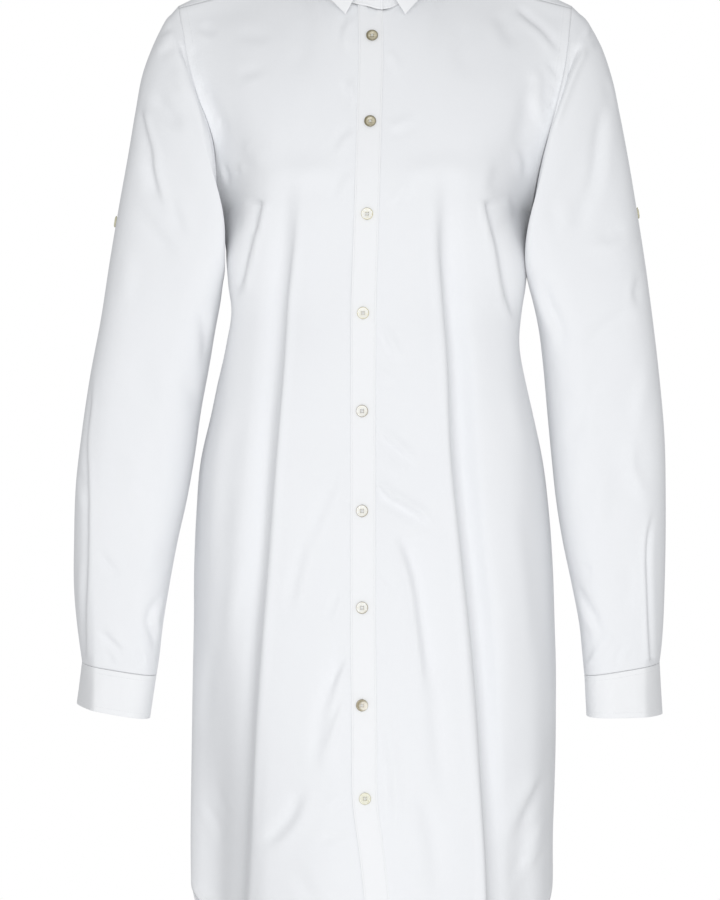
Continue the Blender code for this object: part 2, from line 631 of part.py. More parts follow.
def cuff_grid(side):
    """Outer face of a cuff, whose outer end laps over the inner one at the back."""
    angles = sleeve_angles()
    top_row = SLEEVE_ROWS[side][-1]
    end = CUFF_ENDS[side]
    bottom_row = SleeveRow(end.out_x, end.out_z, end.in_x, end.in_z, end.front, end.back, 0)
    top, bottom = (sleeve_ring(row, side, angles) for row in (top_row, bottom_row))
    count = len(angles)
    first = next(i for i, angle in enumerate(angles) if angle > CUFF_LAP_ANGLE)
    order = [(first + i) % count for i in range(count + CUFF_LAP_SEGMENTS)]
    drop = (bottom[0] - top[0]).normalized() * SEAM_GAP
    grid = []
    for share in (0.0, 0.5, 1.0):
        row = []
        middle = sum(top, Vector()) / count
        middle = middle.lerp(sum(bottom, Vector()) / count, share)
        for i, j in enumerate(order):
            point = top[j].lerp(bottom[j], share)
            if share == 0.0:
                point = point + drop
            out = (point - middle).normalized()
            lap = CUFF_LAP * (1 - smooth(i / CUFF_LAP_REACH))
            row.append(point + out * lap)
        grid.append(row)
    return grid


def grid_normals(grid, closed):
    """Outward normal of each point of a grid of rows, from its neighbours."""
    rows, columns = len(grid), len(grid[0])
    normals = []
    for r in range(rows):
        line = []
        for c in range(columns):
            if closed:
                across = grid[r][(c + 1) % columns] - grid[r][c - 1]
            else:
                across = grid[r][min(c + 1, columns - 1)] - grid[r][max(c - 1, 0)]
            down = grid[min(r + 1, rows - 1)][c] - grid[max(r - 1, 0)][c]
            line.append(down.cross(across).normalized())
        normals.append(line)
    return normals


class Cloth:
    """One cut piece of cloth: its outer face as rows of points, and the side its faces point to."""

    def __init__(self, name, grid, closed=False, flip=False):
        """Keep the rows and work out a normal for each point."""
        self.name = name
        self.grid = grid
        self.closed = closed
        self.normals = grid_normals(grid, closed)
        if flip:
            self.normals = [[-n for n in line] for line in self.normals]

    def border(self):
        """Row and column of every point on an edge, with the row and column just inside it."""
        rows, columns = len(self.grid), len(self.grid[0])
        for r in range(rows):
            for c in range(columns):
                inner_r = 1 if r == 0 else rows - 2 if r == rows - 1 else r
                inner_c = c if self.closed else 1 if c == 0 else columns - 2 if c == columns - 1 else c
                if (inner_r, inner_c) != (r, c):
                    yield r, c, inner_r, inner_c

    def build(self, finish):
        """Make the closed wall as an object."""
        rows, columns = len(self.grid), len(self.grid[0])
        bm = bmesh.new()
        spans = columns if self.closed else columns - 1
        layer = bm.verts.layers.int.new("place")
        bmesh.ops.create_grid(bm, x_segments=spans, y_segments=rows - 1, size=1.0)
        bm.verts.ensure_lookup_table()
        for i, vert in enumerate(bm.verts):
            r, c = divmod(i, spans + 1)
            vert.co = self.grid[r][c % columns] * MM
            vert[layer] = r * columns + c % columns
        if self.closed:
            bmesh.ops.remove_doubles(bm, verts=bm.verts, dist=1e-6)
        faces = list(bm.faces)
        test = faces[0]
        test.normal_update()
        r, c = divmod(min(vert[layer] for vert in test.verts), columns)
        if test.normal.dot(self.normals[r][c]) < 0:
            bmesh.ops.reverse_faces(bm, faces=faces)
        rim = [edge for edge in bm.edges if edge.is_boundary]
        rim_loops = [(edge.link_loops[0].vert, edge.link_loops[0].link_loop_next.vert) for edge in rim]
        copied = bmesh.ops.duplicate(bm, geom=list(bm.verts) + list(bm.edges) + faces)
        twin = copied["vert_map"]
        inner_faces = [item for item in copied["geom"] if isinstance(item, bmesh.types.BMFace)]
        bmesh.ops.reverse_faces(bm, faces=inner_faces)
        for vert in {vert for face in faces for vert in face.verts}:
            r, c = divmod(vert[layer], columns)
            twin[vert].co = vert.co - self.normals[r][c] * WALL * MM
        for start, end in rim_loops:
            bm.faces.new((end, start, twin[start], twin[end]))
        return finished(self.name, bm, finish, 60)


def share_seams(pieces):
    """Give points that two pieces share one normal, then draw each edge back by half the seam gap."""
    shared = {}
    for piece in pieces:
        for r, c, _, _ in piece.border():
            key = tuple(round(value * 20) for value in piece.grid[r][c])
            shared.setdefault(key, []).append((piece, r, c))
    for places in shared.values():
        if len({piece.name for piece, _, _ in places}) > 1:
            total = sum((piece.normals[r][c] for piece, r, c in places), Vector()).normalized()
            for piece, r, c in places:
                piece.normals[r][c] = total
    inward = {}
    for piece in pieces:
        for r, c, inner_r, inner_c in piece.border():
            inward[piece.name, r, c] = (piece.grid[inner_r][inner_c] - piece.grid[r][c]).normalized()
    moves = []
    for places in shared.values():
        for piece, r, c in places:
            own = inward[piece.name, r, c]
            others = [inward[other.name, a, b] for other, a, b in places if other is not piece]
            apart = own - sum(others, Vector()) / max(len(others), 1)
            moves.append((piece, r, c, apart.normalized() * SEAM_GAP * (0.5 if len(others) < 2 else 0.8)))
    for piece, r, c, move in moves:
        piece.grid[r][c] = piece.grid[r][c] + move


def finished(name, bm, finish, sharp_angle):
    """Turn a bmesh into an object with its own material."""
    mesh = bpy.data.meshes.new(name)
    bmesh.ops.triangulate(bm, faces=bm.faces)
    bm.to_mesh(mesh)
    bm.free()
    mesh.shade_smooth()
    mesh.set_sharp_from_angle(angle=math.radians(sharp_angle))
    item = bpy.data.objects.new(name, mesh)
    bpy.context.scene.collection.objects.link(item)
    colour, roughness = finish
    material = bpy.data.materials.new(name)
    material.use_nodes = True
    shader = material.node_tree.nodes["Principled BSDF"]
    shader.inputs["Base Color"].default_value = colour
    shader.inputs["Roughness"].default_value = roughness
    mesh.materials.append(material)
    return item


POPLIN = (POPLIN_WHITE, 0.85)
SHELL = (SHELL_CREAM, 0.3)


def placket_grid(front):
    """Outer face of the button band, laid on the left front's rows."""
    rows = []
    for row in front:
        z = row[0].z
        x = lookup(BAND_ROWS, "z", "x", z)
        line = []
        for step in (-0.5, 0.0, 0.5):
            at = x + step * BAND_WIDTH
            inner, outer = row[0], row[1]
            t = (at - inner.x) / (outer.x - inner.x)
            point = inner.lerp(outer, min(max(t, 0.0), 1.0))
            point.x = at
            line.append(point)
        rows.append(line)
    rows[0] = [start.lerp(below, BAND_TOP_DROP / (start - below).length)
               for start, below in zip(rows[0], rows[1])]
    return [[point - (normal if normal.y > 0 else -normal) * (LAYER_GAP + WALL)
             for point, normal in zip(line, normals)]
            for line, normals in zip(rows, grid_normals(rows, False))]


def build_button(name, centre, facing, radius):
    """Round four-hole button: a turned rim with a shallow dish, standing on the cloth."""
    bm = bmesh.new()
    profile = [(0.0, 0.0), (radius * 0.82, 0.0), (radius, 0.9), (radius * 0.93, BUTTON_THICKNESS),
               (radius * 0.74, BUTTON_THICKNESS), (radius * 0.6, BUTTON_THICKNESS - 0.6),
               (0.0, BUTTON_THICKNESS - 0.6)]
    verts = [bm.verts.new((r * MM, 0.0, h * MM)) for r, h in profile]
    edges = [bm.edges.new(pair) for pair in zip(verts, verts[1:])]
    bmesh.ops.spin(bm, geom=verts + edges, cent=(0, 0, 0), axis=(0, 0, 1), angle=math.tau,
                   steps=BUTTON_SIDES, use_merge=True)
    bmesh.ops.remove_doubles(bm, verts=bm.verts, dist=1e-6)
    bmesh.ops.recalc_face_normals(bm, faces=bm.faces)
    item = finished(name, bm, SHELL, 40)
    item.rotation_mode = "QUATERNION"
    item.rotation_quaternion = facing.to_track_quat("Z", "Y")
    item.location = centre * MM
    return item


def sleeve_point(sleeve, z):
    """Outermost point of a sleeve at a height, with the direction that it faces."""
    column = max(range(len(sleeve.grid[0])), key=lambda c: abs(sleeve.grid[-1][c].x))
    r = max(i for i in range(len(sleeve.grid) - 1) if sleeve.grid[i][column].z >= z)
    above, below = sleeve.grid[r][column], sleeve.grid[r + 1][column]
    t = (z - above.z) / (below.z - above.z)
    facing = sleeve.normals[r][column].lerp(sleeve.normals[r + 1][column], t).normalized()
    return above.lerp(below, t), facing


def band_point(grid, x, z):
    """Point on the button band at a height, with the direction that it faces."""
    middle = [row[1] for row in grid]
    r = max(i for i in range(len(middle) - 1) if middle[i].z >= z)
    t = (z - middle[r].z) / (middle[r + 1].z - middle[r].z)
    point = middle[r].lerp(middle[r + 1], t)
    point.x = x
    along = (middle[r + 1] - middle[r]).normalized()
    return point, Vector((0, along.z, -along.y)).normalized()


def build_buttons(placket, stand, sleeves, cuffs):
    """Place every button just clear of the cloth that it is sewn to."""
    stand_end = stand[1][-2].lerp(stand[1][-3], 0.6)
    build_button("button_00", stand_end + Vector((0, -STAND_BUTTON_CLEAR, 0)), Vector((0, -1, -0.08)),
                 BUTTON_RADIUS)
    for i, row in enumerate(BUTTON_ROWS):
        spot, facing = band_point(placket, row.x, row.z)
        build_button(f"button_{i + 1:02d}", spot + facing * BUTTON_CLEAR, facing, BUTTON_RADIUS)
    for side, word in ((-1, "right"), (1, "left")):
        spot, facing = sleeve_point(sleeves[side], TAB_BUTTON_Z[side])
        build_button(f"tab_button_{word}", spot + facing * SMALL_BUTTON_CLEAR, facing, SMALL_BUTTON_RADIUS)
        cuff = cuffs[side]
        spot = cuff.grid[1][1].lerp(cuff.grid[1][2], 0.5)
        facing = (cuff.normals[1][1] + cuff.normals[1][2]).normalized()
        build_button(f"cuff_button_{word}", spot + facing * SMALL_BUTTON_CLEAR, facing, SMALL_BUTTON_RADIUS)


def main():
    """Clear the scene and build the dress."""
    for item in list(bpy.data.objects):
        bpy.data.objects.remove(item, do_unlink=True)
    fronts = {side: front_grid(side) for side in (-1, 1)}
    back = back_grid()
    placket = placket_grid(fronts[1])
    stand = stand_grid()
    sleeves = {side: Cloth(f"sleeve_{'right' if side < 0 else 'left'}", sleeve_grid(side), closed=True,
                           flip=side > 0) for side in (-1, 1)}
    cuffs = {side: Cloth(f"cuff_{'right' if side < 0 else 'left'}", cuff_grid(side), flip=side > 0)
             for side in (-1, 1)}
    body = [
        Cloth("front_right", fronts[-1], flip=True),
        Cloth("front_left", fronts[1]),
        Cloth("back", back, flip=True),
        Cloth("yoke", yoke_grid(back[0])),
        sleeves[-1],
        sleeves[1],
    ]
    share_seams(body)
    others = [Cloth("placket", placket), Cloth("collar_stand", stand, flip=True),
              Cloth("collar", collar_grid(), flip=True)]
    for piece in body + others + list(cuffs.values()):
        piece.build(POPLIN)
    build_buttons(placket, stand, sleeves, cuffs)


main()
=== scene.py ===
"""Looks of the white shirt dress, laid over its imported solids.

Tables are in millimetres, finished meshes in metres. +X is to the right as the front is looked at, the
front faces -Y and +Z is up. Side -1 is the wearer's right, side +1 the wearer's left. Each cut piece of
cloth starts from the same few rows of points as its solid, which are then woven finer and creased.
"""
import logging
import math
from dataclasses import dataclass
from enum import Enum
from typing import Callable, Sequence

import bmesh
import bpy
import numpy as np
from mathutils import Matrix, Vector


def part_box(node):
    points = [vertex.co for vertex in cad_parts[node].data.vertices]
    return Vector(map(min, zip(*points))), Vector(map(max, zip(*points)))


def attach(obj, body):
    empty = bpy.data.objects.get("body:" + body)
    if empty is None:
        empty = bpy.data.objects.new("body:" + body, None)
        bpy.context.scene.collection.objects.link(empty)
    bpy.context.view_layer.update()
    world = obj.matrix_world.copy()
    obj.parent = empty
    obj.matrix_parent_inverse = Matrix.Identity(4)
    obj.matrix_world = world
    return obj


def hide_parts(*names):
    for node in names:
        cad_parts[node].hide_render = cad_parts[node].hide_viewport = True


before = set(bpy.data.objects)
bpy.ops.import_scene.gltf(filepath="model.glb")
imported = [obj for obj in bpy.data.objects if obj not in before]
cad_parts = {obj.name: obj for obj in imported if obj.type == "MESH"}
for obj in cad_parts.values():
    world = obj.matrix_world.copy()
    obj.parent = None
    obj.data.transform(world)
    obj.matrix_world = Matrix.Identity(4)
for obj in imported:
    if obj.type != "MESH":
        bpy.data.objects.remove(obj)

LOG = logging.getLogger("shirt_dress")
MM = 0.001
SIDES = (-1, 1)
SIDE_WORD = {-1: "right", 1: "left"}
Number = float | np.ndarray


def eased(t: Number) -> Number:
    """Ease from 0 to 1 as t goes from 0 to 1."""
    t = np.clip(t, 0.0, 1.0)
    return t * t * (3.0 - 2.0 * t)


def ease(t: float) -> float:
    """The same for one number."""
    return float(eased(t))


def point(x: float, y: float, z: float) -> np.ndarray:
    """A place in millimetres."""
    return np.array((x, y, z), dtype=float)


def unit(vector: np.ndarray) -> np.ndarray:
    """The same directions, each of length one."""
    return vector / np.maximum(np.linalg.norm(vector, axis=-1, keepdims=True), 1e-9)


def curved(a: Number, b: Number, leave: Number, arrive: Number, t: float) -> Number:
    """Cubic curve from a to b at t, with the slopes that it leaves and arrives with."""
    return a * (2 * t**3 - 3 * t**2 + 1) + leave * (t**3 - 2 * t**2 + t) \
        + b * (3 * t**2 - 2 * t**3) + arrive * (t**3 - t**2)


def placed(name: str, data: bpy.types.ID) -> bpy.types.Object:
    """Put a mesh, a light or a camera into the scene."""
    item = bpy.data.objects.new(name, data)
    bpy.context.scene.collection.objects.link(item)
    return item


class Table:
    """Named columns of a table, read on smooth curves that never overshoot."""

    def __init__(self, names: str, rows: Sequence[Sequence[float]]) -> None:
        """Keep the rows in rising order of the first column.

        Args:
            names: The columns' names, the first one being the key.
            rows: The rows as they are measured.
        """
        values = np.array(rows, dtype=float)
        self.names = names.split()
        self.rows = values
        ordered = values[::-1] if values[0, 0] > values[-1, 0] else values
        self.keys = ordered[:, 0]
        self.columns = ordered[:, 1:]
        slopes = np.diff(self.columns, axis=0) / np.diff(self.keys)[:, None]
        before, after = slopes[:-1], slopes[1:]
        total = np.where(np.abs(before + after) < 1e-12, 1.0, before + after)
        inner = np.where(before * after <= 0, 0.0, 2 * before * after / total)
        self.tangents = np.vstack([slopes[:1], inner, slopes[-1:]])

    def at(self, name: str, key: float) -> float:
        """Read one column at a value of the key.

        Args:
            name: The column.
            key: The value of the first column.

        Returns:
            The value on the curve, held level past both ends.
        """
        c = self.names.index(name) - 1
        key = min(max(key, self.keys[0]), self.keys[-1])
        i = min(int(np.searchsorted(self.keys, key, side="right")) - 1, len(self.keys) - 2)
        step = self.keys[i + 1] - self.keys[i]
        t = (key - self.keys[i]) / step
        a, b = self.columns[i, c], self.columns[i + 1, c]
        ta, tb = self.tangents[i, c] * step, self.tangents[i + 1, c] * step
        return float(curved(a, b, ta, tb, t))


# Armhole seam from the shoulder down the front, up the back and over the yoke
ARMHOLE_FRONT = {
    -1: (
        (184.5, -14, -48), (182, -25, -60), (178.5, -35, -75), (175.5, -43, -93), (170.7, -50, -113),
        (164.3, -55, -135), (155.2, -57, -158), (149.6, -53, -180), (148.4, -45, -201), (148.2, -32, -220),
        (148.1, -15, -234), (148, 0, -240),
    ),
    1: (
        (184.5, -14, -48), (183, -25, -60), (181, -35, -75), (178.5, -44, -93), (175, -51, -113),
        (170.5, -56, -135), (164.5, -58, -158), (158.5, -54, -180), (153.8, -45, -201), (150.6, -32, -220),
        (148.8, -15, -234), (148, 0, -240),
    ),
}
ARMHOLE_BACK = (
    (148, 0, -240), (148.8, 20, -233), (150.6, 38, -218), (154, 51, -198), (158.5, 58, -176),
    (163.5, 60, -153), (168, 58.5, -131), (172, 54.5, -110), (175.5, 49, -91), (178.5, 42, -74),
)
ARMHOLE_YOKE = (
    (178.5, 42, -74), (181.5, 31, -60), (183.8, 18, -50), (184.8, 4, -45.5), (184.9, -6, -45.5),
    (184.5, -14, -48),
)
ARM_WIDTH = {-1: 0.995, 1: 1.016}
UNDERARM_Z = -240.0
SIDE_HEM_Z = {-1: -880.0, 1: -866.0}

SIDE_ROWS = Table("z right left", (
    (-240, 147.3, 150.2), (-262, 141.5, 147), (-285, 138, 145.6), (-310, 132, 143), (-335, 127, 138),
    (-362, 134.5, 134), (-395, 145, 142.3), (-430, 153, 151), (-475, 163.5, 161), (-525, 168, 167.3),
    (-575, 170.3, 171), (-630, 171, 173), (-685, 172.5, 174.5), (-740, 173.7, 174.4),
    (-790, 174.7, 173.4), (-830, 175.5, 172.2), (-960, 174.5, 173),
))

# Level sections: depth of the middle, and the place where a panel turns to the side
FRONT_SECTIONS = Table("z middle_y corner_x corner_y bend", (
    (0, -50, 100, -40, 1), (-50, -70, 104, -62, 1), (-80, -84, 106, -75, 1), (-120, -99, 106, -89, 1),
    (-160, -112, 102, -100, 0.8), (-185, -119, 98, -106, 0.6), (-210, -124.5, 98, -109.5, 0.5),
    (-240, -128, 102, -110, 0.4), (-277, -129, 111.5, -105, 0.4), (-305, -129.2, 118, -97, 0.5),
    (-335, -129.6, 118, -88, 0.8),
    (-380, -130, 118, -94, 1), (-430, -131, 122, -99, 1), (-520, -134, 128, -102, 1),
    (-610, -138, 131, -104, 1), (-700, -141, 132, -105, 1), (-800, -144, 132, -104, 1),
    (-970, -148, 132, -103, 1),
))
# How far in the wearer's right front turns to the side earlier than the left one does
CORNER_PULL = Table("z in", ((-480, 0), (-600, 4), (-700, 13), (-800, 22), (-970, 26)))
# How full the front's turn to the side is, where it leaves the front and where it meets the side
SIDE_FULLNESS = Table("z start end", (
    (0, 1, 1), (-160, 1, 1), (-205, 1.3, 1.1), (-240, 2.0, 1.6), (-290, 2.5, 2.1), (-335, 1.6, 1.9),
    (-400, 1.1, 1.5), (-500, 1, 1.2), (-700, 1, 1.1), (-970, 1, 1),
))
BACK_SECTIONS = Table("z middle_y corner_x corner_y bend", (
    (-60, 87, 104, 72, 1), (-80, 94, 106, 82, 1), (-120, 102, 106, 91, 1), (-160, 106, 105, 95, 1),
    (-205, 107, 104, 96, 1), (-250, 104, 104, 92, 1), (-300, 97, 104, 84, 1), (-350, 91, 105, 77, 1),
    (-400, 88, 109, 75, 1), (-460, 91, 115, 78, 1), (-520, 99, 120, 85, 1), (-600, 110, 124, 93, 1),
    (-700, 118, 127, 99, 1), (-800, 122, 128, 101, 1), (-970, 127, 129, 103, 1),
))

# The two long folds of each side of the dress
FRONT_FOLDS = Table("z right left depth", (
    (0, 62, 52, 0), (-190, 64, 54, 0), (-232, 67, 54.5, 3), (-278, 71.5, 55.5, 7), (-324, 77, 59, 10),
    (-370, 80, 63, 13), (-416, 84, 65.5, 15), (-462, 87.5, 68, 17), (-553, 93, 76, 19), (-645, 101, 85, 21),
    (-737, 107, 92, 23), (-828, 111, 99, 26), (-970, 119, 107, 28),
))
BACK_FOLDS = Table("z right left depth", (
    (0, 52, 60, 0), (-330, 56, 63, 0), (-420, 62, 70, 6), (-520, 70, 77, 11), (-620, 78, 84, 14),
    (-740, 86, 90, 17), (-860, 92, 95, 20), (-970, 95, 98, 22),
))
BAND_MIDDLE = Table("z x", (
    (0, -3), (-53, -3), (-79, -2.1), (-160, -4), (-245, -6.4), (-336, -9.1), (-426, -9.6), (-606, -9.6),
    (-695, -8.7), (-780, -7.8), (-825, -2.3), (-871, 3.1), (-970, 11),
))

# Sleeve rings from the armhole down: heights of the outer and the inner edge, depth of the front and of the
# back, then for the right and the left sleeve the outer edge, the inner edge and how far the front rolls out
SLEEVE_RINGS = (
    (-62, -258, -76, 70, (197, 147, 12), (203, 147, 6)),
    (-83, -270, -79, 72, (207.3, 142.5, 15), (214.6, 143.5, 9)),
    (-110, -281, -81, 69, (217.3, 139.8, 13), (224.2, 142, 10)),
    (-145, -294, -81, 64, (224, 138.8, 9), (232, 142.5, 10)),
    (-188, -309, -80, 58, (231, 141, 5), (240, 145.5, 7)),
    (-235, -327, -78, 52, (239.5, 143.6, 1), (248, 150.5, 2)),
    (-285, -352, -75, 47, (248, 148.5, 0), (256, 156, 0)),
    (-340, -386, -73, 43, (256.5, 154.5, 0), (263.5, 160.5, 0)),
    (-395, -428, -71, 39, (267, 162.5, 0), (270, 164.5, 0)),
    (-450, -470, -69, 35, (275.5, 168.5, 0), (275, 168.5, 0)),
    (-500, -512, -67, 31, (281.5, 176, 0), (276.5, 173, 0)),
    (-550, -552, -64, 28, (283.5, 185, 0), (277, 179.5, 0)),
    (-595, -592, -61, 25, (284, 192.5, 0), (276.5, 188, 0)),
    (-630, -632, -57, 22, (281.5, 199, 0), (275.5, 195.5, 0)),
    (-654, -662, -54, 20, (278.5, 202.5, 0), (273.8, 198.5, 0)),
    (-665.7, -677, -52, 19, (276.8, 204.8, 0), (272.4, 200, 0)),
)
SLEEVE_ROWS = {side: [(out_x, out_z, in_x, in_z, front, back, roll)
                      for out_z, in_z, front, back, *edges in SLEEVE_RINGS
                      for out_x, in_x, roll in (edges[i],)] for i, side in enumerate(SIDES)}
CUFF_ENDS = {-1: (283, -706, 211, -718, -54, 18, 0), 1: (275.8, -715, 202, -716, -54, 18, 0)}

COLLAR_EDGE = Table("angle x y z", (
    (3, 26.5, -79, -58), (14, 37, -75.5, -47.5), (28, 52, -67, -34), (45, 70, -52, -20),
    (64, 85, -31, -11), (90, 92, 4, -6), (120, 77, 43, -3), (150, 42, 66, 2), (180, 0, 71.5, 5),
))


@dataclass(frozen=True)
class Neckline:
    """The loop on which the collar stand is sewn."""

    half_width: float = 66.0
    half_depth: float = 63.0
    centre_y: float = -7.0
    back_z: float = 15.0
    drop: float = 65.0
    sweep: float = 1.77
    yoke_angle: float = 70.5
    front_steps: tuple[float, ...] = (15, 28, 41, 52)
    yoke_spans: int = 26

    def at(self, angle: float) -> np.ndarray:
        """Point at an angle in degrees, from the front through the wearer's left."""
        turn = math.radians(angle)
        rise = ((1 + math.cos(turn)) / 2) ** self.sweep
        return point(self.half_width * math.sin(turn), self.centre_y - self.half_depth * math.cos(turn),
                     self.back_z - self.drop * rise)

    def over(self, x: float) -> np.ndarray:
        """Point of the neckline's front at a distance across."""
        return self.at(math.degrees(math.asin(x / self.half_width)))

    def seam_angles(self) -> list[float]:
        """Angles of every column of the fronts and of the yoke."""
        fronts = [math.degrees(math.asin(x / self.half_width)) for x in self.front_steps]
        step = (360 - 2 * self.yoke_angle) / self.yoke_spans
        yoke = [self.yoke_angle + step * i for i in range(self.yoke_spans + 1)]
        return fronts + yoke + [360 - angle for angle in fronts[::-1]]


NECK = Neckline()


def armhole(rows: Sequence[Sequence[float]], side: int) -> list[np.ndarray]:
    """Points of one stretch of the armhole on a side."""
    return [point(side * x * ARM_WIDTH[side], y, z) for x, y, z in rows]


ARM_FRONT_EDGE = {side: Table("z x y", [(z, x, y) for x, y, z in ARMHOLE_FRONT[side]]) for side in SIDES}
ARM_BACK_EDGE = Table("z x y", [(z, x, y) for x, y, z in ARMHOLE_BACK])


@dataclass(frozen=True)
class HalfBody:
    """One half of the front or of the back, as level sections from the middle to the side."""

    side: int
    front: bool
    split: float = 0.58
    top_blend: float = 150.0
    hem_blend_z: float = -630.0
    hem_rows: int = 6
    hem_sweep: float = 3.0
    front_hem_z: float = -935.0
    back_hem_z: float = -958.0
    back_top_y: float = 94.0
    back_top_z: float = -82.0
    front_turn: tuple[float, float] = (-215.0, 80.0)
    back_turn: tuple[float, float] = (-225.0, 60.0)
    fold_step: float = 13.0
    fold_ridge: float = 0.12
    fold_ridge_reach: float = 40.0
    fold_recovery: float = 46.0
    fold_recovered: float = 0.8
    fold_recovery_lost: float = 0.65
    fold_fades_from: float = 0.72
    most_pull: float = 40.0

    @property
    def sections(self) -> Table:
        """Level sections of this panel."""
        return FRONT_SECTIONS if self.front else BACK_SECTIONS

    @property
    def folds(self) -> Table:
        """Long folds of this panel."""
        return FRONT_FOLDS if self.front else BACK_FOLDS

    @property
    def arm(self) -> list[np.ndarray]:
        """The armhole's points from the top down."""
        return armhole(ARMHOLE_FRONT[self.side] if self.front else ARMHOLE_BACK[::-1], self.side)

    @property
    def key(self) -> str:
        """Name of this side's column in the tables."""
        return SIDE_WORD[self.side]

    def edge(self, z: float) -> tuple[float, float]:
        """Half width and depth of the panel's outer edge at a height."""
        if z > UNDERARM_Z:
            rows = ARM_FRONT_EDGE[self.side] if self.front else ARM_BACK_EDGE
            return rows.at("x", z) * ARM_WIDTH[self.side], rows.at("y", z)
        return SIDE_ROWS.at(self.key, z), 0.0

    def section(self, z: float, s: float) -> tuple[float, float]:
        """Half width and depth on a level section.

        Args:
            z: Height of the section.
            s: Share of the way from the middle to the side.

        Returns:
            Distance across from the middle, and depth.
        """
        sign = -1 if self.front else 1
        middle = (0.0, self.sections.at("middle_y", z))
        pulled = CORNER_PULL.at("in", z) if self.front and self.side < 0 else 0.0
        corner = (self.sections.at("corner_x", z) - pulled, self.sections.at("corner_y", z))
        edge = self.edge(z)
        bend = self.sections.at("bend", z)
        chord = math.dist(middle, edge)
        along = ((edge[0] - middle[0]) / chord, (edge[1] - middle[1]) / chord)
        flank = math.dist(corner, edge)
        straight = ((edge[0] - corner[0]) / flank, (edge[1] - corner[1]) / flank)
        turn_start, turn_height = self.front_turn if self.front else self.back_turn
        turn = ease((turn_start - z) / turn_height)
        from_corner, to_edge = (SIDE_FULLNESS.at(name, z) if self.front else 1.0
                                for name in ("start", "end"))
        end = (straight[0] * (1 - turn), straight[1] * (1 - turn) - sign * turn)
        if s <= self.split:
            a, b, t = middle, corner, s / self.split
            length = math.dist(a, b)
            ta, tb = (length, 0.0), (along[0] * length * bend, along[1] * length * bend)
        else:
            a, b, t = corner, edge, (s - self.split) / (1 - self.split)
            leave, arrive = flank * bend * from_corner, flank * to_edge * (1 - pulled / self.most_pull)
            ta, tb = (along[0] * leave, along[1] * leave), (end[0] * arrive, end[1] * arrive)
        x, y = (curved(a[i], b[i], ta[i], tb[i], t) for i in (0, 1))
        return x, y

    def share_at(self, z: float, x: float) -> float:
        """Share of the way to the side at which a section is x wide."""
        low, high = 0.0, 1.0
        for _ in range(24):
            middle = (low + high) / 2
            if self.section(z, middle)[0] < x:
                low = middle
            else:
                high = middle
        return (low + high) / 2

    def sunk(self, x: float, z: float, s: float) -> float:
        """How far the long fold sinks the cloth: a steep step, then a soft recovery."""
        depth = self.folds.at("depth", z)
        beyond = x - self.folds.at(self.key, z)
        fade = 1 - ease((s - self.fold_fades_from) / (1 - self.fold_fades_from))
        if beyond < 0:
            return -self.fold_ridge * depth * ease(1 + beyond / self.fold_ridge_reach) * fade
        if beyond < self.fold_step:
            climbed = ease(beyond / self.fold_step)
            return depth * (climbed * (1 + self.fold_ridge) - self.fold_ridge) * fade
        recovered = self.fold_recovered
        if self.front and self.side < 0:
            recovered -= self.fold_recovery_lost * ease((-560 - z) / 200)
        back_up = ease((beyond - self.fold_step) / self.fold_recovery)
        return depth * (1 - recovered * back_up) * fade

    def top(self, x: float) -> np.ndarray:
        """Top edge of the panel at a half width: neckline, then shoulder seam or yoke seam."""
        if self.front:
            start = NECK.at(NECK.yoke_angle)
            if x < start[0]:
                found = NECK.over(x)
            else:
                end = armhole(ARMHOLE_FRONT[self.side], self.side)[0]
                found = start + (end * (self.side, 1, 1) - start) * (x - start[0]) / (abs(end[0]) - start[0])
        else:
            corner = armhole(ARMHOLE_YOKE, self.side)[0]
            t = x / abs(corner[0])
            found = point(x, self.back_top_y + (corner[1] - self.back_top_y) * t**2.6,
                          self.back_top_z + (corner[2] - self.back_top_z) * t**2)
        return point(self.side * x, found[1], found[2])

    def at(self, z: float, s: float, top: np.ndarray | None = None) -> np.ndarray:
        """Point of the outer face.

        Args:
            z: Height.
            s: Share of the way to the side.
            top: Point of the panel's top edge on that column.

        Returns:
            The point in millimetres.
        """
        x, y = self.section(z, s)
        y += self.sunk(x, z, s) if self.front else -self.sunk(x, z, s)
        if top is not None and s < 1:
            plain = self.section(top[2], self.share_at(top[2], abs(top[0])))[1]
            y += (top[1] - plain) * max(0.0, 1 - (top[2] - z) / self.top_blend) ** 2
        return point(self.side * x, y, z)

    def hem(self, s: float) -> float:
        """Height of the curved hem, low in the middle and high at the side seam."""
        low = self.front_hem_z if self.front else self.back_hem_z
        return low + (SIDE_HEM_Z[self.side] - low) * s**self.hem_sweep

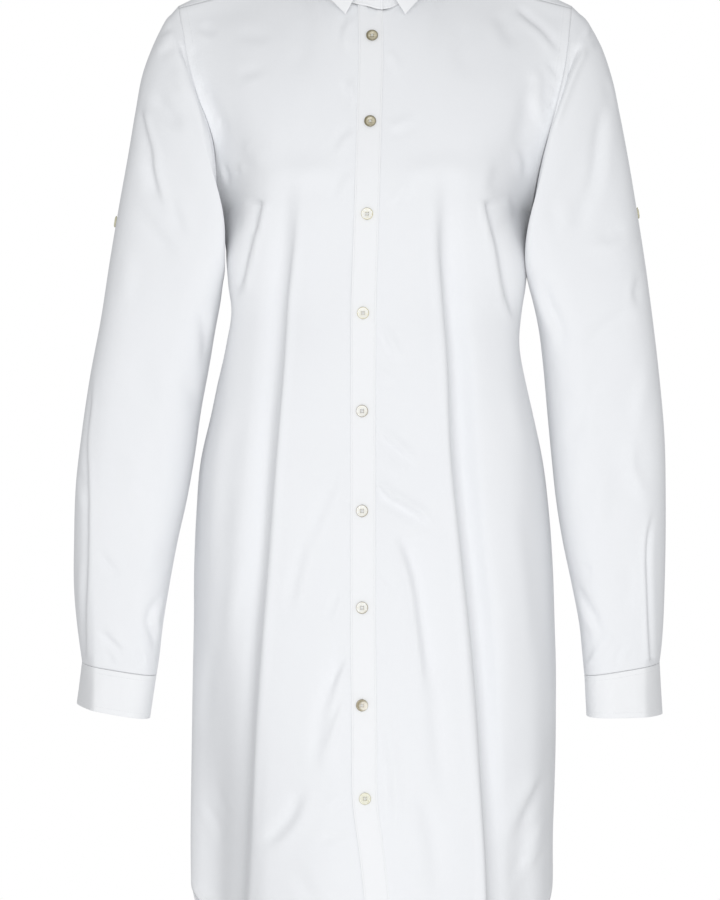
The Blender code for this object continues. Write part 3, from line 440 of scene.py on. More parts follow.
    def columns(self, tops: Sequence[float], lows: Sequence[tuple[str, float]]) -> np.ndarray:
        """Rows of points from the panel's top edge to its hem.

        Args:
            tops: Half width of each column at the top edge.
            lows: Rule for each column lower down.

        Returns:
            Rows by columns of points.
        """
        arm = self.arm
        levels = [p[2] for p in arm] + [z for z in SIDE_ROWS.rows[1:, 0] if z >= self.hem_blend_z]
        hem_start = len(levels) - 1
        drop = SIDE_HEM_Z[self.side] - self.hem_blend_z
        levels += [self.hem_blend_z + drop * (i + 1) / self.hem_rows for i in range(self.hem_rows)]
        arm_count = len(arm) - 1
        rows = []
        for r, level in enumerate(levels):
            line = []
            for top_x, (kind, value) in zip(tops, lows):
                top = self.top(max(top_x, 0.0))
                if kind == "share" and value == 1.0:
                    line.append(arm[r] if r <= arm_count else self.at(level, 1.0))
                    continue
                near = (top_x / abs(arm[0][0])) ** 3
                z = level
                if r <= arm_count:
                    even = top[2] + (UNDERARM_Z - top[2]) * r / arm_count
                    z = even + (level + (top[2] - levels[0]) * (1 - r / arm_count) - even) * near
                s = self.column_share(z, top_x, kind, value, 1 - ease(r / arm_count))
                if r > hem_start:
                    z = self.hem_blend_z + (self.hem(s) - self.hem_blend_z) * (r - hem_start) / self.hem_rows
                if r == 0:
                    line.append(top)
                    continue
                found = self.at(z, s, top)
                if kind == "middle":
                    found[0] = BAND_MIDDLE.at("x", z) + value
                line.append(found)
            rows.append(line)
        return np.array(rows)

    def column_share(self, z: float, top_x: float, kind: str, value: float, upper: float) -> float:
        """Share of the way to the side of one column at a height.

        Args:
            z: Height.
            top_x: Half width of the column at the top edge.
            kind: Rule of the column.
            value: The rule's own number.
            upper: How much the top edge still decides, from 1 at the top to 0.

        Returns:
            The share.
        """
        fold_x = self.folds.at(self.key, z)
        x = fold_x + 34
        if kind == "middle":
            x = (BAND_MIDDLE.at("x", z) + value) * self.side
        elif kind == "part":
            x = fold_x * value
        elif kind == "past":
            x = fold_x + value
        width = self.edge(z)[0]
        low = self.share_at(z, min(max(x, 0.0), width - 4))
        if kind == "share":
            low += (1 - low) * value
        if kind == "middle":
            return low
        return low + (self.share_at(z, min(max(top_x, 0.0), width)) - low) * upper


SHOULDER_SHARES = (0.0, 0.15, 0.31, 0.48, 0.64, 0.8, 0.91, 1.0)


@dataclass(frozen=True)
class BodyLattice:
    """Few points of the fronts, the back, the yoke and the button band."""

    under_edge: float = 8.0
    seam_gap: float = 0.3
    band_width: float = 23.0
    band_top_drop: float = 3.0
    band_lifts: tuple[float, float, float] = (0.53, 0.85, 1.2)
    yoke_back: float = 7.0
    yoke_rise: float = 3.0
    yoke_side_rise: float = 4.0

    def front(self, side: int) -> np.ndarray:
        """Outer face of a front, from the button band to the armhole and side seam."""
        half = HalfBody(side, True)
        neck_side = NECK.at(NECK.yoke_angle)[0]
        shoulder = abs(half.arm[0][0]) - neck_side
        seam = (neck_side + shoulder * share for share in SHOULDER_SHARES[:-1])
        tops = [0.0, *NECK.front_steps, *seam, 0.0]
        offset = -self.under_edge if side < 0 else -self.under_edge + self.seam_gap
        lows = [("middle", offset), ("part", 0.38), ("part", 0.72), ("past", -9), ("past", 0), ("past", 5),
                ("past", 12), ("past", 32), ("share", 0.3), ("share", 0.55), ("share", 0.78),
                ("share", 0.92), ("share", 1.0)]
        rows = half.columns(tops, lows)
        rows[0, 0] = NECK.over(BAND_MIDDLE.at("x", -50) + offset)
        return rows

    def back(self) -> np.ndarray:
        """Outer face of the back, from one side seam to the other."""
        lows = [("part", 0.5), ("past", -6), ("past", 4), ("past", 13), ("past", 34), ("share", 0.4),
                ("share", 0.72), ("share", 1.0)]
        shares = (0.13, 0.27, 0.4, 0.53, 0.66, 0.79, 0.9, 1.0)
        halves = []
        for side in SIDES:
            half = HalfBody(side, False)
            halves.append(half.columns([abs(half.arm[0][0]) * share for share in shares], lows))
        middle = HalfBody(1, False).columns([0.0], [("part", 0.0)])
        return np.concatenate([halves[0][:, ::-1], middle, halves[1]], axis=1)

    def yoke(self, back_top: np.ndarray) -> np.ndarray:
        """Outer face of the yoke, in rows from the neckline out to the armholes and the back seam."""
        outer = armhole(ARMHOLE_YOKE, 1)[::-1][:-1] + list(back_top[::-1]) + armhole(ARMHOLE_YOKE, -1)[1:]
        count = len(outer) - 1
        rows = []
        for share in SHOULDER_SHARES:
            line = []
            for i, end in enumerate(outer):
                start = NECK.at(NECK.yoke_angle + (360 - 2 * NECK.yoke_angle) * i / count)
                found = start + (end - start) * share
                if 0.0 < share < 1.0 and 0 < i < count:
                    edge = math.sin(math.pi * i / count)
                    rise = self.yoke_side_rise * (1 - edge) + self.yoke_rise
                    found = found + point(0, self.yoke_back * edge, rise) * math.sin(math.pi * share)
                line.append(found)
            rows.append(line)
        return np.array(rows)

    def band(self, front: np.ndarray) -> np.ndarray:
        """Outer face of the button band, laid on the left front's rows."""
        rows = []
        for row in front:
            x = BAND_MIDDLE.at("x", row[0][2])
            line = []
            for step in (-0.5, 0.0, 0.5):
                at = x + step * self.band_width
                t = min(max((at - row[0][0]) / (row[1][0] - row[0][0]), 0.0), 1.0)
                found = row[0] + (row[1] - row[0]) * t
                found[0] = at
                line.append(found)
            rows.append(line)
        rows = np.array(rows)
        down = rows[1] - rows[0]
        rows[0] += down * self.band_top_drop / np.linalg.norm(down, axis=-1, keepdims=True)
        facing = grid_normals(rows, False)
        facing = np.where(facing[..., 1:2] > 0, facing, -facing)
        return rows - facing * np.array(self.band_lifts)[None, :, None]


# How far the stand's seam sags below the level across the front, and how far it comes forward as it does
FRONT_SAG = Table("x drop", ((-24, 0), (-12, 1), (-2, 3.6), (8, 6.2), (15, 4.6), (26, 0.8), (36, 0)))
SAG_SLOPE = 0.45


@dataclass(frozen=True)
class CollarLattice:
    """Few points of the collar stand and of the collar."""

    height_front: float = 24.0
    height_back: float = 30.0
    lean: float = 3.0
    overlap: float = 7.5
    lap: float = 1.8
    level_angle: float = 13.2
    seam_gap: float = 0.3
    roll: float = 3.5
    roll_rise: float = 5.1
    roll_out: float = 3.2
    fall_start: tuple[float, float] = (1.6, 2.2)
    fall_bulge: float = 2.4
    fall_rows: int = 4
    corner_drop: float = 5.0
    lap_start: float = 333.0
    lap_turn: float = 14.0
    point_angle: float = 40.0
    point_shift: tuple[float, float, float] = (2.0, -1.0, -2.2)
    angles: tuple[float, ...] = (4, 9, 14, 21, 28, 36, 45, 54, 64, 76, 90, 105, 120, 135, 150, 165, 180)

    def foot(self, angle: float) -> tuple[np.ndarray, float]:
        """Foot of the stand at an angle round the neck, and its height there."""
        base = NECK.at(angle)
        base[2] = max(base[2], NECK.at(self.level_angle)[2])
        back = (1 - math.cos(math.radians(angle))) / 2
        sag = FRONT_SAG.at("drop", base[0]) if base[1] < 0 else 0.0
        base += point(0, -SAG_SLOPE * sag, -sag)
        return base, self.height_front + (self.height_back - self.height_front) * back + sag

    def foot_over(self, x: float) -> np.ndarray:
        """Foot of the stand at a place across the front."""
        return self.foot(math.degrees(math.asin(x / NECK.half_width)))[0]

    def outward(self, angle: float) -> np.ndarray:
        """Level direction away from the neck."""
        return point(math.sin(math.radians(angle)), -math.cos(math.radians(angle)), 0)

    def over(self, angle: float) -> float:
        """How far the upper end stands proud of the under end."""
        return self.lap * ease((angle - self.lap_start) / self.lap_turn)

    def stand(self) -> np.ndarray:
        """Outer face of the stand, whose right end laps over its left end at the front."""
        inner = self.overlap * 0.4
        angles = [-self.overlap, -inner, inner, *NECK.seam_angles(),
                  360 - inner, 360 + inner, 360 + self.overlap]
        rows = []
        for share in (0.0, 0.5, 1.0):
            line = []
            for i, angle in enumerate(angles):
                base, height = self.foot(angle)
                if i in (0, len(angles) - 1) and share == 1.0:
                    height -= self.corner_drop
                lift = point(0, 0, height * share + self.seam_gap / 2)
                line.append(base + lift + self.outward(angle) * (self.over(angle) - self.lean * share))
            rows.append(line)
        return np.array(rows)

    def collar(self) -> np.ndarray:
        """Outer face of the collar: up from the stand, over the roll and down to the pointed edge."""
        angles = list(self.angles) + [360 - angle for angle in self.angles[-2::-1]]
        return np.swapaxes(np.array([self.leaf(angle) for angle in angles]), 0, 1)

    def leaf(self, angle: float) -> list[np.ndarray]:
        """One section of the collar, from its seam over the roll to its edge."""
        folded = min(angle, 360 - angle)
        out, up = self.outward(angle), point(0, 0, 1)
        base, height = self.foot(angle)
        top = base + up * height - out * (self.lean - self.over(angle))
        edge = point(*(COLLAR_EDGE.at(name, folded) for name in "xyz"))
        edge[0] *= 1 if angle <= 180 else -1
        edge += point(*self.point_shift) * (1 - ease(folded / self.point_angle))
        fold = top + up * self.roll_rise + out * self.roll_out
        start = top + up * self.seam_gap * 1.5
        shoulder = fold + out * self.fall_start[0] - up * self.fall_start[1]
        found = [start, start + up * self.roll * 0.75 + out * 0.3, fold - out * 1.4]
        for i in range(self.fall_rows + 1):
            share = i / self.fall_rows
            bulge = self.fall_bulge * math.sin(math.pi * share)
            found.append(shoulder + (edge - shoulder) * share + out * bulge)
        return found


@dataclass(frozen=True)
class SleeveLattice:
    """Few points of one sleeve and of its cuff."""

    side: int
    start_angle: float = 22.0
    end_angle: float = 318.0
    cuff_lap: float = 1.9
    lap_spans: int = 3
    lap_fade: int = 5
    lap_angle: float = 268.0
    seam_gap: float = 0.3
    outer_y: float = -12.0
    inner_y: float = -22.0
    inner_forward: float = 30.0
    centre_shift: float = 0.07
    upper_arm: tuple[float, float] = (-430.0, 170.0)
    below_head: tuple[float, float] = (-120.0, 80.0)
    roundness: float = 2.15
    inner_roundness: float = 0.55
    outer_roundness: float = 1.15
    roll_angle: float = 25.0
    head_share: float = 0.42
    head_out: float = 1.5
    head_forward: float = 3.5
    under_in: float = 4.5
    under_up: float = 3.5

    def angles(self) -> list[float]:
        """Angle of each point of a ring: 0 outer, 90 front, 180 inner, 270 back."""
        front, back, yoke = FRONT_ARM_SPANS, BACK_ARM_SPANS, YOKE_ARM_SPANS
        start, end = self.start_angle, self.end_angle
        found = [start + (180 - start) * i / front for i in range(front + 1)]
        found += [180 + (end - 180) * i / back for i in range(1, back + 1)]
        return found + [end + (360 + start - end) * i / yoke for i in range(1, yoke)]

    def ring(self, row: Sequence[float]) -> list[np.ndarray]:
        """One ring: outer edge, front, inner edge and back joined by smooth quarter turns."""
        out_x, out_z, in_x, in_z, front_y, back_y, roll = row
        outer = point(self.side * out_x, self.outer_y, out_z)
        upper = ease((in_z - self.upper_arm[0]) / self.upper_arm[1])
        below_head = ease((self.below_head[0] - out_z) / self.below_head[1])
        inner = point(self.side * in_x, self.inner_y - self.inner_forward * upper, in_z)
        centre = outer + (inner - outer) * (0.5 + self.centre_shift * upper)
        front, back = point(centre[0], front_y, centre[2]), point(centre[0], back_y, centre[2])
        found = []
        for angle in self.angles():
            turn = math.radians(angle)
            c, s = abs(math.cos(turn)), abs(math.sin(turn))
            a = outer if math.cos(turn) > 0 else inner
            b = front if math.sin(turn) > 0 else back
            inner_front = math.cos(turn) < 0 < math.sin(turn)
            outer_front = math.cos(turn) >= 0 < math.sin(turn)
            power = 2 / (self.roundness + self.inner_roundness * inner_front
                         + self.outer_roundness * below_head * outer_front)
            place = centre + (a - centre) * c**power + (b - centre) * s**power
            swing = min(max((angle - self.roll_angle) * 1.16, 0), 180)
            bell = max(0.0, math.sin(math.radians(swing))) ** 1.5
            place[0] -= self.side * roll * bell
            found.append(place)
        return found

    def seam_loop(self) -> list[np.ndarray]:
        """The armhole's points all round."""
        rows = ARMHOLE_FRONT[self.side], ARMHOLE_BACK, ARMHOLE_YOKE
        front, back, yoke = (armhole(stretch, self.side) for stretch in rows)
        return front + back[1:] + yoke[1:-1]

    def sleeve(self) -> np.ndarray:
        """Outer face from the armhole to the cuff seam."""
        rings = [self.ring(row) for row in SLEEVE_ROWS[self.side]]
        loop = self.seam_loop()
        first = []
        for seam, place, angle in zip(loop, rings[0], self.angles()):
            bell = max(0.0, math.sin(math.radians(min(max(angle - 10, 0), 180)))) ** 2
            under = max(0.0, -math.cos(math.radians(angle))) ** 3
            across = self.side * (self.under_in * under - self.head_out * bell)
            shift = point(across, -self.head_forward * bell, self.under_up * under)
            first.append(seam + (place - seam) * self.head_share + shift)
        return np.array([loop, first, *rings])

    def cuff(self) -> np.ndarray:
        """Outer face of the cuff, whose outer end laps over the inner one at the back."""
        angles = self.angles()
        top = self.ring(SLEEVE_ROWS[self.side][-1])
        bottom = self.ring(CUFF_ENDS[self.side])
        first = next(i for i, angle in enumerate(angles) if angle > self.lap_angle)
        order = [(first + i) % len(angles) for i in range(len(angles) + self.lap_spans)]
        drop = unit(bottom[0] - top[0]) * self.seam_gap
        rows = []
        for share in (0.0, 0.5, 1.0):
            middle = np.mean(top, axis=0) * (1 - share) + np.mean(bottom, axis=0) * share
            line = []
            for i, j in enumerate(order):
                place = top[j] + (bottom[j] - top[j]) * share + (drop if share == 0.0 else 0.0)
                lap = self.cuff_lap * (1 - ease(i / self.lap_fade))
                line.append(place + unit(place - middle) * lap)
            rows.append(line)
        return np.array(rows)


def grid_normals(grid: np.ndarray, closed: bool) -> np.ndarray:
    """Direction square to each point of a grid, from its neighbours."""
    down = np.empty_like(grid)
    down[1:-1] = grid[2:] - grid[:-2]
    down[0], down[-1] = grid[1] - grid[0], grid[-1] - grid[-2]
    if closed:
        across = np.roll(grid, -1, axis=1) - np.roll(grid, 1, axis=1)
    else:
        across = np.empty_like(grid)
        across[:, 1:-1] = grid[:, 2:] - grid[:, :-2]
        across[:, 0], across[:, -1] = grid[:, 1] - grid[:, 0], grid[:, -1] - grid[:, -2]
    return unit(np.cross(down, across))


def blend_weights(steps: np.ndarray, counts: Sequence[int], closed: bool) -> np.ndarray:
    """Weights that carry a few values to many on a smooth curve through them.

    Args:
        steps: Mean distance from each value to the next.
        counts: How many fine steps each interval is cut into.
        closed: Whether the last value joins the first.

    Returns:
        Fine values by coarse values.
    """
    spans = len(counts)
    size = spans if closed else spans + 1
    eye = np.eye(size)
    slope = [(eye[(i + 1) % size] - eye[i]) / steps[i] for i in range(spans)]
    tangents = []
    for j in range(size):
        if closed or 0 < j < spans:
            before, after = (j - 1) % spans, j % spans
            mixed = slope[before] * steps[after] + slope[after] * steps[before]
            tangents.append(mixed / (steps[before] + steps[after]))
        else:
            tangents.append(slope[min(j, spans - 1)])
    rows = []
    for i, count in enumerate(counts):
        for t in np.arange(count) / count:
            ta, tb = tangents[i] * steps[i], tangents[(i + 1) % size] * steps[i]
            rows.append(curved(eye[i], eye[(i + 1) % size], ta, tb, t))
    if not closed:
        rows.append(eye[-1])
    return np.array(rows)


def woven(grid: np.ndarray, row_counts: Sequence[int], column_counts: Sequence[int],
          closed: bool) -> np.ndarray:
    """Make a lattice finer.

    Args:
        grid: Coarse rows of points.
        row_counts: Fine steps in each interval between rows.
        column_counts: Fine steps in each interval between columns.
        closed: Whether the last column joins the first.

    Returns:
        Fine rows of points.
    """
    row_steps = np.linalg.norm(np.diff(grid, axis=0), axis=-1).mean(axis=1)
    ring = np.concatenate([grid, grid[:, :1]], axis=1) if closed else grid
    column_steps = np.linalg.norm(np.diff(ring, axis=1), axis=-1).mean(axis=0)
    down = blend_weights(row_steps, row_counts, False)
    across = blend_weights(column_steps, column_counts, closed)
    return np.einsum("ir,rck,jc->ijk", down, grid, across)


def evenly_woven(grid: np.ndarray, row_counts: Sequence[int], column_count: int) -> np.ndarray:
    """Make an open lattice finer, with as many steps in each interval between its columns."""
    return woven(grid, row_counts, [column_count] * (grid.shape[1] - 1), False)


def along_line(line: np.ndarray, counts: Sequence[int], closed: bool = False) -> np.ndarray:
    """Finer points of one line."""
    ring = np.concatenate([line, line[:1]]) if closed else line
    steps = np.linalg.norm(np.diff(ring, axis=0), axis=-1)
    return blend_weights(steps, counts, closed) @ line


class Edge(Enum):
    """The four edges of a grid of cloth."""

    TOP = "top"
    BOTTOM = "bottom"
    START = "start"
    END = "end"


def seen_from(grid: np.ndarray, edge: Edge) -> np.ndarray:
    """The same grid turned so that the edge is its first row."""
    if edge is Edge.TOP:
        return grid
    if edge is Edge.BOTTOM:
        return grid[::-1]
    turned = np.swapaxes(grid, 0, 1)
    return turned if edge is Edge.START else turned[::-1]


def pull_edge(grid: np.ndarray, edge: Edge, target: np.ndarray, reach: int = 12, start: int = 0) -> None:
    """Move an edge onto a line that two pieces share, easing the change into the cloth.

    Args:
        grid: Fine points, changed in place.
        edge: The edge to move.
        target: The line's points, one for each point of that stretch of the edge.
        reach: How many rows in the change dies out.
        start: Where along the edge the line begins.
    """
    turned = seen_from(grid, edge)
    span = slice(start, start + len(target))
    change = target - turned[0, span]
    for r in range(reach):
        turned[r, span] += change * (1 - ease(r / reach))


# Where a crease's valley lies beside its ridge, and how wide its near half is, in widths of the crease
VALLEY_PLACE = 1.3
VALLEY_NEAR_WIDTH = 0.8


@dataclass(frozen=True)
class Crease:
    """One soft crease, drawn as it is seen square on from the front or the back.

    A positive height is a ridge and a negative one a trough. The ridge's shaded side is the valley beside
    it, to the right of the way that the path runs.
    """

    path: tuple[tuple[float, float], ...]
    height: float
    width: float
    valley: float = 0.5
    valley_width: float = 1.0
    start_soft: float = 0.3
    end_soft: float = 0.45

    @property
    def reach(self) -> float:
        """How far to the side the crease can be felt."""
        return self.width * max(3.0, VALLEY_PLACE + 2.5 * self.valley_width)

    def lift(self, x: np.ndarray, z: np.ndarray) -> np.ndarray:
        """How far the crease lifts the cloth at places seen square on."""
        line = np.array(self.path, dtype=float)
        if len(line) > 2:
            line = along_line(line, [5] * (len(line) - 1))
        lengths = np.linalg.norm(np.diff(line, axis=0), axis=1)
        walked = np.concatenate([[0.0], np.cumsum(lengths)])
        best = np.full(x.shape, np.inf)
        side = np.zeros(x.shape)
        share = np.zeros(x.shape)
        for i, length in enumerate(lengths):
            ax, az = line[i]
            dx, dz = (line[i + 1] - line[i]) / length
            along = (x - ax) * dx + (z - az) * dz
            held = np.clip(along, 0.0, length)
            gap = np.hypot(x - ax - dx * held, z - az - dz * held)
            closer = gap < best
            across = (x - ax) * dz - (z - az) * dx
            side = np.where(closer, np.sign(across), side)
            share = np.where(closer, (walked[i] + held) / walked[-1], share)
            best = np.minimum(gap, best)
        q = best * side / self.width
        taper = eased(share / self.start_soft) * eased((1 - share) / self.end_soft)
        beside = (q - VALLEY_PLACE) / np.where(q < VALLEY_PLACE, VALLEY_NEAR_WIDTH, self.valley_width)
        shape = np.exp(-q**2) - self.valley * np.exp(-beside**2)
        ends = np.where((share <= 0.0) | (share >= 1.0), np.exp(-(best / self.width) ** 2), 1.0)
        return self.height * shape * taper * ends


@dataclass(frozen=True)
class Sewn:
    """One sewn edge, or a stretch of it, and how far in from it the stitches run."""

    edge: Edge
    inset: float
    start: int = 0
    stop: int | None = None


def sewn_edges(inset: float, *edges: Edge) -> tuple[Sewn, ...]:
    """Sew whole edges at one distance in."""
    return tuple(Sewn(edge, inset) for edge in edges)


@dataclass
class Cloth:
    """One cut piece of cloth as a fine grid of points on its outer face."""

    name: str
    points: np.ndarray
    closed: bool = False
    flip: bool = False
    wall: float = 0.7
    soft_edge: float = 0.0
    sewn: tuple[Sewn, ...] = ()
    trim: float = 0.03
    facing_gain: float = 1.7

    def normals(self) -> np.ndarray:
        """Outward direction at each point."""
        found = grid_normals(self.points, self.closed)
        return -found if self.flip else found

    def from_edges(self, steps: int = 6) -> np.ndarray:
        """Share from 0 at any sewn edge to 1 a few rows in."""
        rows, columns = self.points.shape[:2]
        r = np.minimum(np.arange(rows), rows - 1 - np.arange(rows))[:, None]
        share = eased(r / steps) * np.ones((rows, columns))
        if not self.closed:
            c = np.minimum(np.arange(columns), columns - 1 - np.arange(columns))[None, :]
            share = share * eased(c / steps)
        return share

    def crease(self, creases: Sequence[Crease], back: bool = False, mask: np.ndarray | None = None) -> None:
        """Lift the cloth along creases.

        Args:
            creases: The creases, as seen from the front or the back.
            back: Whether they lie on the side that looks backwards.
            mask: Where the cloth may move, from 0 to 1.
        """
        normals = self.normals()
        facing = eased(normals[..., 1] * (self.facing_gain if back else -self.facing_gain))
        weight = facing * self.from_edges()
        if mask is not None:
            weight = weight * mask
        x, z = self.points[..., 0], self.points[..., 2]
        total = np.zeros(x.shape)
        for crease in creases:
            line = np.array(crease.path)
            reach = crease.reach
            near = (weight > 0.001) & (x > line[:, 0].min() - reach) & (x < line[:, 0].max() + reach) \
                & (z > line[:, 1].min() - reach) & (z < line[:, 1].max() + reach)
            if near.any():
                total[near] += crease.lift(x[near], z[near])
        self.points = self.points + normals * (total * weight)[..., None]

    def set_back(self, start_x: float, end_x: float, depths: Table) -> None:
        """Swing the cloth's outer part back and slightly down, growing from one distance across to another.

        Args:
            start_x: Distance from the middle where the change begins.
            end_x: Distance from the middle where it is whole.
            depths: How deep it is at each height.
        """
        x, z = np.abs(self.points[..., 0]), self.points[..., 2]
        order = np.argsort(depths.keys)
        depth = np.interp(z, depths.keys[order], depths.columns[order, 0])
        moved = depth * eased((x - start_x) / (end_x - start_x))
        self.points += point(0, 1, -0.05) * moved[..., None]

    def inset_of(self, edge: Edge, most: int = 14) -> np.ndarray:
        """Distance in from an edge along the cloth, for the rows nearest to it."""
        turned = seen_from(self.points, edge)[:most]
        steps = np.linalg.norm(np.diff(turned, axis=0), axis=-1)
        return np.concatenate([np.zeros((1, turned.shape[1])), np.cumsum(steps, axis=0)])

    def line_beside(self, edge: Edge, inset: float) -> tuple[np.ndarray, np.ndarray]:
        """Points on the cloth at a distance in from an edge, and the directions they face.

        Args:
            edge: The edge.
            inset: How far in.

        Returns:
            Points and outward directions, one for each point of the edge.
        """
        distance = self.inset_of(edge)
        turned = seen_from(self.points, edge)[:len(distance)]
        facing = seen_from(self.normals(), edge)[:len(distance)]
        places, directions = [], []
        for c in range(turned.shape[1]):
            r = min(int(np.searchsorted(distance[:, c], inset)), len(distance) - 1)
            t = (inset - distance[r - 1, c]) / max(distance[r, c] - distance[r - 1, c], 1e-6)
            places.append(turned[r - 1, c] + (turned[r, c] - turned[r - 1, c]) * min(t, 1.0))
            directions.append(facing[r, c])
        return np.array(places), np.array(directions)

    def seam_share(self) -> np.ndarray:
        """For each point, how far in it lies as a share of the nearest sewn edge's turned-in cloth."""
        share = np.full(self.points.shape[:2], 9.0)
        for sewn in self.sewn:
            distance = self.inset_of(sewn.edge)
            turned = seen_from(share, sewn.edge)
            span = slice(sewn.start, sewn.stop)
            turned[:len(distance), span] = np.minimum(turned[:len(distance), span],
                                                      distance[:, span] / sewn.inset)
        return share

    def flat_size(self) -> tuple[float, float, float]:
        """Width, length and area of the cut that shows, in metres."""
        grid = np.concatenate([self.points, self.points[:, :1]], axis=1) if self.closed else self.points
        across, down = np.diff(grid, axis=1), np.diff(grid, axis=0)
        width = np.linalg.norm(across, axis=-1).sum(axis=1).max()
        length = np.linalg.norm(down, axis=-1).sum(axis=0).max()
        faces = np.linalg.norm(np.cross(across[:-1] + across[1:], down[:, :-1] + down[:, 1:]), axis=-1) / 4
        return float(width * MM), float(length * MM), float(faces.sum() * MM * MM)

    def trimmed(self) -> np.ndarray:
        """The points with every edge drawn in a little from the seam line."""
        grid = self.points.copy()
        for edge in Edge:
            if self.closed and edge in (Edge.START, Edge.END):
                continue
            turned = seen_from(grid, edge)
            turned[0] += unit(turned[1] - turned[0]) * self.trim
        return grid

    def build(self) -> bpy.types.Object:
        """Make the piece as an object with its wall."""
        grid = self.trimmed()
        share = self.seam_share()
        facing = self.normals()[0, 0]
        if self.closed:
            grid, share = (np.concatenate([a, a[:, :1]], axis=1) for a in (grid, share))
        rows, columns = grid.shape[:2]
        bm = bmesh.new()
        bmesh.ops.create_grid(bm, x_segments=columns - 1, y_segments=rows - 1, size=1.0)
        mesh = bpy.data.meshes.new(self.name)
        bm.to_mesh(mesh)
        mesh.vertices.foreach_set("co", (grid * MM).ravel())
        self.add_maps(mesh, grid, share)
        bm.clear()
        bm.from_mesh(mesh)
        if self.closed:
            bmesh.ops.remove_doubles(bm, verts=bm.verts, dist=1e-7)
        bm.faces.ensure_lookup_table()
        bm.faces[0].normal_update()
        if bm.faces[0].normal.dot(Vector(facing)) < 0:
            bmesh.ops.reverse_faces(bm, faces=bm.faces)
        bm.to_mesh(mesh)
        bm.free()
        mesh.shade_smooth()
        item = placed(self.name, mesh)
        wall = item.modifiers.new("wall", "SOLIDIFY")
        wall.thickness, wall.offset = self.wall * MM, -1.0
        if self.soft_edge:
            edge = item.modifiers.new("soft_edge", "BEVEL")
            edge.width, edge.segments = self.soft_edge * MM, 2
            edge.limit_method, edge.angle_limit = "ANGLE", math.radians(60)
        return item

    def add_maps(self, mesh: bpy.types.Mesh, grid: np.ndarray, share: np.ndarray) -> None:
        """Give the mesh a map in metres along the threads, and its distance from the sewn edges."""
        across = np.linalg.norm(np.diff(grid, axis=1), axis=-1).mean(axis=0)
        down = np.linalg.norm(np.diff(grid, axis=0), axis=-1).mean(axis=1)
        u, v = np.meshgrid(*(np.concatenate([[0.0], np.cumsum(steps)]) for steps in (across, down)))
        places = np.stack([u.ravel(), v.ravel()], axis=1) * MM
        corners = np.empty(len(mesh.loops), dtype=np.int32)
        mesh.loops.foreach_get("vertex_index", corners)
        threads = mesh.uv_layers.new(name="threads")
        threads.data.foreach_set("uv", places[corners].ravel())
        seams = mesh.attributes.new("seam_share", "FLOAT", "POINT")
        seams.data.foreach_set("value", share.ravel().astype(np.float32))


FINE_ARM = 6
FINE_LOWER = 14
FRONT_ARM_SPANS = len(ARMHOLE_FRONT[1]) - 1
BACK_ARM_SPANS = len(ARMHOLE_BACK) - 1
YOKE_ARM_SPANS = len(ARMHOLE_YOKE) - 1
FRONT_COLUMNS = (12, 10, 6, 4, 3, 3, 7, 6, 6, 6, 4, 4)
BACK_COLUMN = 7
SLEEVE_ROW = 11
LOWER_SPANS = 17
ARM_FRONT_ROWS = FINE_ARM * FRONT_ARM_SPANS
ARM_BACK_ROWS = FINE_ARM * BACK_ARM_SPANS
YOKE_ARM_COLUMNS = FINE_ARM * YOKE_ARM_SPANS
NECK_COLUMNS = sum(FRONT_COLUMNS[:5])
SHOULDER_COLUMNS = FRONT_COLUMNS[5:]
BAND_COLUMNS = (4, 4)
CUFF_ROWS = (7, 7)
STAND_ROWS = (4, 4)
STAND_COLUMN = 3
COLLAR_ROWS = (1, 2, 2, 3, 4, 4, 4)
COLLAR_COLUMN = 4
SLEEVE_SEAM_REACH = 8
SEAM_LIFT = 0.15
SEAM_REACH = 14


